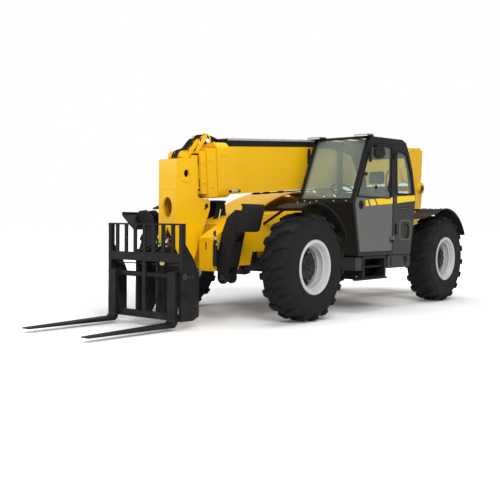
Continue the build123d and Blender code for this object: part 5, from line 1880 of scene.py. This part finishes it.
@dataclass
class CabInside(Dress):
    """The padded seat, the controls and the floor mat."""

    seat: Pair = (0.532, 0.988)
    head: Pair = (0.632, 0.888)
    wheel_hub: Point = (-0.460, 0.760, 1.690)
    wheel_aim: Point = (-0.55, 0, 0.83)
    wheel_radius: float = 0.175
    grip: float = 0.014
    floor: float = 0.835
    padding: float = 0.030
    voxels: Pair = (0.009, 0.012)
    pressure: float = 4.0
    frames: int = 12
    swell: float = 0.008

    def cushion(self, outline: Sequence[Pair], sides: Pair, name: str) -> Piece:
        """One padded part of the seat.

        Args:
            outline: Its side view by X and Z.
            sides: Its right and left side.
            name: Its name.

        Returns:
            The cushion, riding the chassis.
        """
        low, high = sides
        piece = self.bench.prism([(x, low, z) for x, z in outline], (0, high - low, 0), self.padding, 3)
        fine, coarse = self.voxels
        self.bench.modify(piece, "REMESH", mode="VOXEL", voxel_size=fine)
        self.bench.modify(piece, "SMOOTH", factor=0.5, iterations=6)
        self.inflate(piece)
        self.bench.smooth(piece, 60.0)
        self.put(piece, name, Slot.FABRIC)
        return piece

    def inflate(self, piece: Piece) -> None:
        """Swells a cushion a little by a short cloth pass.

        Args:
            piece: The cushion.
        """
        scene = bpy.context.scene
        before = [vertex.co.copy() for vertex in piece.data.vertices]
        made = piece.modifiers.new("cloth", "CLOTH")
        made.settings.use_pressure = True
        made.settings.uniform_pressure_force = self.pressure
        made.settings.effector_weights.gravity = 0.0
        made.settings.quality = 4
        for frame in range(1, self.frames + 1):
            scene.frame_set(frame)
        self.bench.only(piece)
        bpy.ops.object.modifier_apply(modifier=made.name)
        scene.frame_set(1)
        for vertex, start in zip(piece.data.vertices, before):
            move = vertex.co - start
            if move.length > self.swell:
                vertex.co = start + move.normalized() * self.swell

    def build_seat(self) -> None:
        """Cushion, back and headrest, which stand for the plain one, and the armrest."""
        base = ((-0.872, 1.214), (-0.868, 1.295), (-0.930, 1.305), (-1.250, 1.290), (-1.300, 1.214))
        back = (
            (-1.286, 1.300), (-1.338, 1.560), (-1.352, 1.806), (-1.428, 1.806), (-1.392, 1.500),
            (-1.372, 1.290),
        )
        head = (
            (-1.365, 1.835), (-1.352, 1.930), (-1.366, 2.026), (-1.420, 2.026), (-1.430, 1.930),
            (-1.420, 1.835),
        )
        cushion = self.cushion(base, self.seat, "seat_squab")
        self.cushion(back, self.seat, "seat_back")
        self.cushion(head, self.head, "headrest")
        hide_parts("seat_cushion")
        posts = [self.bench.tube([(-1.392, y, z) for z in (1.79, 1.85)], 0.007, 2) for y in (0.70, 0.82)]
        self.put(posts, "headrest_posts", Slot.CHROME)
        rest = self.bench.block((-1.22, 1.020, 1.46), (-0.92, 1.075, 1.50), 0.012)
        stay = self.bench.tube([(-1.20, 1.045, 1.47), (-1.27, 1.045, 1.40), (-1.30, 1.000, 1.36)], 0.012)
        self.put([rest, stay], "armrest", Slot.PLASTIC)

    def steering(self) -> list[Piece]:
        """The steering wheel and its shaft.

        Returns:
            Shaft, rim and spokes.
        """
        aim = Vector(self.wheel_aim).normalized()
        hub = Vector(self.wheel_hub)
        section = ((0, -0.12), (0.028, -0.12), (0.034, -0.02), (0.055, -0.006), (0.055, 0.006), (0, 0.010))
        ring = [(self.wheel_radius + self.grip * math.cos(a), self.grip * math.sin(a)) for a in angles(10)]
        made = [self.bench.turned(section, 28, hub, aim), self.bench.turned(ring, 48, hub, aim)]
        across = Vector((0, 1, 0))
        along = aim.cross(across)
        for turn in (0.0, math.pi, math.pi / 2):
            reach = across * math.cos(turn) + along * math.sin(turn)
            route = [hub + reach * 0.03, hub + reach * 0.10 - aim * 0.008, hub + reach * 0.172]
            made.append(self.bench.tube(route, 0.011, 3, 3, 4))
        return made

    def controls(self) -> None:
        """Column, steering wheel and console, which stand for the plain ones; joystick, pedals and mat."""
        post = (
            (-0.190, self.floor), (-0.120, 1.330), (-0.240, 1.500), (-0.395, 1.610), (-0.425, 1.560),
            (-0.330, 1.430), (-0.380, 1.300), (-0.400, self.floor),
        )
        box = (
            (-0.700, self.floor), (-0.655, 1.330), (-0.690, 1.376), (-1.230, 1.376), (-1.262, 1.340),
            (-1.290, self.floor),
        )
        column = self.bench.prism([(x, 0.670, z) for x, z in post], (0, 0.180, 0), 0.014)
        wheel = self.steering()
        console = self.bench.prism([(x, 0.352, z) for x, z in box], (0, 0.086, 0), 0.012)
        whole = self.put([column, *wheel, console], "cab_controls", Slot.PLASTIC)
        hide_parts("controls")
        grip = (
            (0, 0), (0.040, 0), (0.030, 0.018), (0.016, 0.040), (0.011, 0.050), (0.011, 0.095),
            (0.021, 0.110), (0.025, 0.150), (0.020, 0.185), (0.010, 0.195), (0, 0.195),
        )
        stick = self.bench.turned(grip, 20, (-0.78, 0.395, 1.374), (0.08, 0.05, 1))
        keys = [
            self.bench.block((-1.10 + 0.05 * k, 0.37, 1.374), (-1.07 + 0.05 * k, 0.42, 1.387), 0.003)
            for k in range(5)
        ]
        self.put([stick, *keys], "joystick", Slot.PLASTIC)
        plate = ((-0.300, 0.862), (-0.250, 0.965), (-0.238, 0.960), (-0.288, 0.857))
        arm = ((-0.262, 0.930), (-0.215, 0.945), (-0.185, 0.905))
        feet = (0.58, 0.88)
        pedals = [self.bench.prism([(x, y, z) for x, z in plate], (0, 0.065, 0), 0.004) for y in feet]
        pedals += [self.bench.tube([(x, y + 0.032, z) for x, z in arm], 0.008) for y in feet]
        self.put(pedals, "pedals", Slot.PLASTIC)
        mat = self.bench.block((-0.90, 0.40, 0.829), (-0.30, 1.12, 0.838), 0.003)
        self.put(mat, "floor_mat", Slot.PLASTIC, self.finishes.seal)

    def build(self) -> None:
        """Builds it all."""
        self.build_seat()
        self.controls()


# --- front end --------------------------------------------------------------


@dataclass
class CarriageDress(Dress):
    """Bolts, pin ends, fork collars, cross rod, hoses and their ends on the fork carriage."""

    shaft: Pair = (2.640, 0.610)
    cheek: float = 0.630
    fork: float = 0.505

    def bolts_and_pins(self) -> None:
        """Bolts on the side plates and the bars, the plates' two dark sockets, and the pins' ends."""
        steel = self.finishes.dark_steel
        spots = [(x, self.cheek, z) for x, z in ((2.46, 0.70), (2.46, 0.24), (2.640, 0.90), (2.640, 0.40))]
        self.bench.finish(self.bolts(0.022, both_sides(spots)), "side_plate_bolts", "carriage", Slot.BLACK)
        hollow = ((0.010, 0.001), (0.018, 0.001), (0.021, 0.005), (0.016, 0.009), (0.010, 0.009))
        socket = self.bench.turned(hollow, 20)
        cap = self.bench.turned(((0, 0.016), (0.030, 0.016), (0.036, 0.011), (0.036, 0), (0, 0)))
        for name, model, points, turn, material in (
            ("plate_sockets", socket, [(2.500, 0.629, 0.600), (2.560, 0.629, 0.600)], 0.0, steel),
            ("fork_shaft_ends", cap, [(self.shaft[0], self.cheek, self.shaft[1])], 0.0, steel),
            ("carriage_pin_ends", self.fasteners.pin_cap(0.038, 0.014), [(2.187, 0.185, 0.600)], 1.0, steel),
            ("tilt_eye_pin_ends", self.fasteners.pin_cap(0.034, 0.014), [(2.387, 0.075, 0.920)], 0.7,
             self.finishes.zinc),
        ):
            pieces = self.bench.copies(model, both_sides(points, turn))
            self.bench.finish(pieces, name, "carriage", Slot.BLACK, material)

    def forks(self) -> None:
        """Welded stop collars of the two forks and the cross rod."""
        x, z = self.shaft
        ring = ((0.0335, -0.010), (0.046, -0.010), (0.046, 0.010), (0.0335, 0.010))
        collars = [
            self.bench.turned(ring, 28, (x, side.value * self.fork + shift, z), (0, 1, 0))
            for side in Side
            for shift in (-0.082, 0.082)
        ]
        self.bench.finish(collars, "fork_collars", "carriage", Slot.BLACK)
        rod = self.bench.tube([(2.610, -0.60, 0.735), (2.610, 0.60, 0.735)], 0.008, 2)
        self.bench.finish(rod, "carriage_cross_rod", "carriage", Slot.BLACK, self.finishes.dark_steel)

    def hoses(self) -> None:
        """Service hoses that loop low behind the carriage, with plated ends."""
        routes = (
            (
                (2.60, 0.030, 0.830), (2.52, 0.060, 0.800), (2.50, 0.120, 0.640), (2.54, 0.190, 0.460),
                (2.60, 0.230, 0.420), (2.640, 0.260, 0.520), (2.655, 0.270, 0.760),
            ),
            (
                (2.60, -0.030, 0.830), (2.54, 0.000, 0.760), (2.52, 0.060, 0.560), (2.55, 0.160, 0.380),
                (2.61, 0.240, 0.330), (2.645, 0.290, 0.450), (2.655, 0.300, 0.760),
            ),
        )
        tubes = [self.bench.tube(route, 0.012, 4, 3, 5) for route in routes]
        self.bench.finish(tubes, "carriage_hoses", "carriage", Slot.PLASTIC, self.finishes.hose)
        fitting = self.fasteners.fitting(0.013, 0.060)
        upper = [at((2.655, y, 0.730)) for y in (0.270, 0.300)]
        ends = self.bench.copies(fitting, upper, keep=True)
        self.bench.finish(ends, "hose_ends_brass", "carriage", Slot.IRON, self.finishes.brass)
        ends = self.bench.copies(fitting, [at((2.620, y, 0.820), (-1, 0, -0.25)) for y in (-0.030, 0.030)])
        self.bench.finish(ends, "hose_ends_plated", "carriage", Slot.CHROME, self.finishes.zinc)

    def build(self) -> None:
        """Builds it all."""
        for step in (self.bolts_and_pins, self.forks, self.hoses):
            step()


@dataclass
class StabilizerDress(Dress):
    """Pin ends, the load-check block and its fittings on one stabilizer."""

    side: Side
    pin: Point = (1.840, 0.575, 0.570)
    pin_reach: Pair = (0.090, -0.090)
    foot: Point = (1.840, 0.515, 0.740)
    lean: Pair = (0.285, 0.490)
    along: float = 0.30
    ports: Pair = (-0.016, 0.016)

    def build(self) -> None:
        """Builds one side's trim."""
        s = self.side.value
        word = self.side.word
        x, y, z = self.pin
        caps = [at((x + reach, s * y, z), (math.copysign(1, reach), 0, 0), 1.0) for reach in self.pin_reach]
        caps = self.bench.copies(self.fasteners.pin_cap(0.036, 0.012), caps)
        steel = self.finishes.dark_steel
        self.bench.finish(caps, f"leg_pin_ends_{word}", f"stabilizer_{word}", Slot.BLACK, steel)
        run = Vector((0, s * self.lean[0], self.lean[1])).normalized()
        aside = Vector((0, -s * run.z, abs(run.y)))
        spot = Vector((self.foot[0], s * self.foot[1], self.foot[2])) + run * self.along
        head = self.bench.block((-0.030, -0.024, 0), (0.030, 0.024, 0.030), 0.004)
        body = f"stabilizer_cylinder_{word}"
        block = self.bench.copies(head, [at(spot + aside * 0.036, aside)])
        self.bench.finish(block, f"check_block_{word}", body, Slot.BLACK, self.finishes.zinc)
        places = [at(spot + aside * 0.064 + Vector((shift, 0, 0)), aside) for shift in self.ports]
        ends = self.bench.copies(self.fasteners.fitting(0.009, 0.038), places)
        self.bench.finish(ends, f"check_block_fittings_{word}", body, Slot.BLACK, self.finishes.zinc)


# --- body -------------------------------------------------------------------


@dataclass
class FrameDress(Dress):
    """What the chassis wears: fender edges, lenses, tow pin, steps, tank trim, valves, boom rest, bolts."""

    fender: float = 0.802
    fender_bolt: float = 0.8
    tow_x: float = -3.910
    bolt: float = 0.018
    valve: Pair = (1.966, 0.488)
    bowl: Pair = (0.130, 0.190)

    def fenders(self) -> None:
        """Rolled edges along the four fenders and their stay bolts."""
        for axle in Axle:
            beads = []
            for side in Side:
                for y in (0.902, 1.288):
                    aims = [math.radians(67 + 84 * k / 14) for k in range(15)]
                    arc = [self.on_wheel(axle, aim, side.value * y, self.fender) for aim in aims]
                    beads.append(self.bench.tube(arc, 0.007, 3, 3, 2))
            self.put(beads, f"fender_beads_{axle.word}", Slot.PLASTIC)
            places = []
            for side in Side:
                for degrees, y in ((90, 1.00), (90, 1.19), (146, 1.00), (146, 1.19)):
                    angle = math.radians(degrees)
                    spot = self.on_wheel(axle, angle, side.value * y, self.fender_bolt)
                    places.append(at(spot, (math.cos(angle), 0, math.sin(angle))))
            bolts = self.bolts(self.bolt, places)
            self.put(bolts, f"fender_bolts_{axle.word}", Slot.PLASTIC, self.finishes.zinc)

    def on_wheel(self, axle: Axle, angle: float, y: float, radius: float) -> Point:
        """A place round an axle, by angle, Y and radius."""
        return (axle.value + radius * math.cos(angle), y, AXLE_HEIGHT + radius * math.sin(angle))

    def hood(self) -> None:
        """Latches and the crease of the engine hood."""
        latches = [
            self.bench.block((x - 0.03, -1.203, 1.095), (x + 0.03, -1.188, 1.175), 0.006)
            for x in (-1.40, -0.30)
        ]
        self.bench.finish(latches, "hood_latches", "hood", Slot.PLASTIC)
        line = ((-1.78, 1.560), (-1.25, 1.560), (-0.45, 1.480), (0.02, 1.300))
        seam = self.bench.tube([(x, -1.192, z) for x, z in line], 0.004, 3, 2, 4)
        self.bench.finish(seam, "hood_crease", "hood", Slot.YELLOW)

    def rear(self) -> None:
        """Tail lamp lenses, tow pin and the counterweight's bolts."""
        for name, material, low, high in (
            ("red", self.finishes.red_lens, 0.690, 0.765),
            ("amber", self.finishes.amber, 0.640, 0.688),
            ("clear", self.finishes.lens, 0.612, 0.638),
        ):
            lenses = [self.sided(side, (-3.962, low, 0.978), (-3.957, high, 1.042), 0.002) for side in Side]
            self.put(lenses, f"tail_lens_{name}", Slot.PLASTIC, material)
        section = (
            (0, -0.110), (0.017, -0.110), (0.017, 0.090), (0.030, 0.094), (0.030, 0.110), (0.012, 0.116),
            (0, 0.116),
        )
        pin = self.bench.turned(section, 24, (self.tow_x, 0, 0.780))
        eye = [(self.tow_x + 0.030 * math.cos(a), 0.0, 0.918 + 0.030 * math.sin(a)) for a in angles(20)]
        self.put([pin, self.bench.loop(eye, 0.005)], "tow_pin", material=self.finishes.zinc)
        bolts = self.bolts(0.036, both_sides([(x, 0.800, 0.900) for x in (-3.82, -3.64)]))
        self.put(bolts, "counterweight_bolts", material=self.finishes.zinc)

    def steps(self) -> None:
        """Grip studs on the tread, bolts on the step box, and the tank's cap and straps."""
        stud = self.bench.turned(((0, 0.005), (0.006, 0.005), (0.009, 0), (0, 0)), 10)
        places = [at((-0.86 + 0.06 * i, 1.015 + 0.04 * j, 0.640)) for i in range(9) for j in range(4)]
        self.put(self.bench.copies(stud, places), "tread_studs", material=self.finishes.dark_steel)
        bolts = self.bolts(self.bolt, [at((-0.293, y, 0.50), (1, 0, 0)) for y in (0.60, 1.10)])
        self.put(bolts, "step_box_bolts", material=self.finishes.zinc)
        section = (
            (0, 0.030), (0.012, 0.030), (0.014, 0.022), (0.040, 0.020), (0.046, 0.014), (0.046, 0), (0, 0),
        )
        self.put(self.bench.turned(section, 32, (-1.560, 1.190, 0.715), (0, 1, 0)), "tank_cap", Slot.PLASTIC)
        band = (
            (0.312, 0.775), (0.312, 0.784), (1.150, 0.784), (1.196, 0.750), (1.196, 0.620), (1.192, 0.620),
            (1.192, 0.748), (1.148, 0.780), (1.148, 0.775),
        )
        straps = [
            self.bench.prism([(x, y, z) for y, z in band], (0.035, 0, 0), 0.001, 1) for x in (-1.55, -1.12)
        ]
        self.put(straps, "tank_straps")

    def front(self) -> None:
        """Bolts on the front box, pipes on the frame's side and the drive shaft's flanges."""
        corners = ((0.43, 1.02), (0.43, 0.68), (0.25, 0.68), (0.25, 1.02))
        places = [at((1.9675, s.value * y, z), (1, 0, 0)) for s in Side for y, z in corners]
        self.put(self.bolts(0.020, places), "front_box_bolts", Slot.YELLOW)
        pipes = [
            self.bench.tube([(x, s.value * y, 0.905) for x in (-2.0, -0.6, 0.4, 1.2)], 0.008, 2)
            for s in Side
            for y in (0.298, 0.320)
        ]
        self.put(pipes, "frame_pipes", material=self.finishes.dark_steel)
        cone = ((0, 0), (0.056, 0), (0.056, 0.012), (0.040, 0.030), (0, 0.030))
        ends = ((-0.30, 1), (-0.70, -1))
        flanges = [self.bench.turned(cone, 28, (x, 0, 0.677), (aim, 0, 0)) for x, aim in ends]
        self.put(flanges, "shaft_flanges", Slot.IRON)

    def slots(self) -> None:
        """Dark plates at the bottom of the front boxes' slots: painted shade that darkens the slots."""
        half, radius = 0.033, 0.0165
        plates = []
        for side in Side:
            shade_outline = []
            for angle in angles(24):
                sine = math.sin(angle)
                rise = math.copysign(half, sine) if abs(sine) > 1e-9 else 0.0
                spot = (1.9455, side.value * 0.330 + radius * math.cos(angle), 0.940 + rise + radius * sine)
                shade_outline.append(spot)
            # Each plate is a dark sheet set behind the box's face: painted shade in the slot.
            plates.append(self.bench.prism(shade_outline, (0.003, 0, 0)))
        self.put(plates, "slot_linings", Slot.PLASTIC)

    def valves(self) -> None:
        """The upright valve cartridges beside the front boxes, their clamps, fittings and hoses."""
        x, half = self.valve
        high = 0.024
        shape = (
            (0, 0.700), (0.020, 0.700), (0.026, 0.708), (0.026, 0.990), (0.021, 1.000), (0.021, 1.014),
            (0.016, 1.018), (0, 1.018),
        )
        route = (
            (x, half, 1.050), (x, half, 1.100), (1.930, 0.450, 1.130), (1.890, 0.400, 1.110),
            (1.880, 0.380, 1.075),
        )
        for side in Side:
            s = side.value
            parts = [self.bench.turned(shape, 28, (x, s * half, 0))]
            for z in (0.760, 0.930):
                band = ((0.0255, z), (0.0285, z), (0.0285, z + high), (0.0255, z + high))
                parts.append(self.sided(side, (1.948, 0.458, z), (x, 0.484, z + high), 0.002))
                parts.append(self.bench.turned(band, 28, (x, s * half, 0)))
            self.put(parts, f"stabilizer_valve_{side.word}", Slot.PLASTIC)
            places = [at((x, s * half, 1.016)), at((1.972, s * 0.510, 0.960), (0.2, s, 0.3))]
            ends = self.bench.copies(self.fasteners.fitting(0.009, 0.042), places)
            self.put(ends, f"stabilizer_valve_fittings_{side.word}", material=self.finishes.zinc)
            hose = self.bench.tube([(along, s * y, z) for along, y, z in route], 0.009)
            self.put(hose, f"stabilizer_valve_hose_{side.word}", Slot.PLASTIC, self.finishes.hose)

    def boom_rest(self) -> None:
        """The upright rest under the lowered boom, with its pad and pipe."""
        side = (
            (1.250, 0.935), (1.580, 0.935), (1.560, 1.170), (1.465, 1.490), (1.320, 1.490), (1.270, 1.180),
        )
        web = ((1.380, 0.935), (1.395, 0.935), (1.395, 1.480), (1.380, 1.480))
        parts = [
            self.bench.prism([(x, y, z) for x, z in side], (0, 0.014, 0), 0.003) for y in (-0.075, 0.061)
        ]
        parts.append(self.bench.prism([(x, -0.062, z) for x, z in web], (0, 0.124, 0)))
        self.put(parts, "boom_rest")
        pad = self.bench.block((1.315, -0.090, 1.486), (1.470, 0.090, 1.516), 0.006)
        self.put(pad, "boom_rest_pad", Slot.PLASTIC)
        route = ((1.500, 0.080, 0.960), (1.500, 0.084, 1.100), (1.455, 0.084, 1.260), (1.415, 0.084, 1.400))
        self.put(self.bench.tube(route, 0.009), "boom_rest_pipe", Slot.RIM, self.finishes.zinc)

    def axles(self) -> None:
        """Cover bolts on both sides of the axle bowls."""
        radius, half = self.bowl
        for axle in Axle:
            places = both_sides([self.on_wheel(axle, angle, half, radius) for angle in angles(10)])
            bolts = self.bolts(self.bolt, places)
            self.put(bolts, f"axle_bowl_bolts_{axle.word}", Slot.IRON, self.finishes.dark_steel)

    def build(self) -> None:
        """Builds it all."""
        for step in (
            self.fenders, self.hood, self.rear, self.steps, self.front, self.slots, self.valves,
            self.boom_rest, self.axles,
        ):
            step()


def main() -> None:
    """Builds the machine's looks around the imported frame."""
    logging.basicConfig(level=logging.INFO, format="%(message)s")
    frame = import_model()
    finishes = Finishes()
    Studio().build()
    Solids(frame, finishes).dress()
    bench = Bench(finishes)
    kit = (bench, finishes, Fasteners(bench))
    Wheels(*kit).build()
    BoomDress(*kit, BoomLine()).build()
    for name, base, eye, radius, gap, side in (
        ("lift_cylinder", (-3.063, 0.0, 0.820), (-1.143, 0.0, 1.640), 0.090, 0.095, (0.393, 0, -0.92)),
        ("tilt_cylinder", (1.762, 0.0, 1.438), (2.387, 0.0, 0.920), 0.048, 0.152, (-0.638, 0, -0.77)),
    ):
        Ram(*kit, name, base, eye, radius, gap, side).build()
    CabDress(*kit).build()
    CabInside(*kit).build()
    CarriageDress(*kit).build()
    for side in Side:
        StabilizerDress(*kit, side).build()
    FrameDress(*kit).build()


if __name__ == "__main__":
    main()
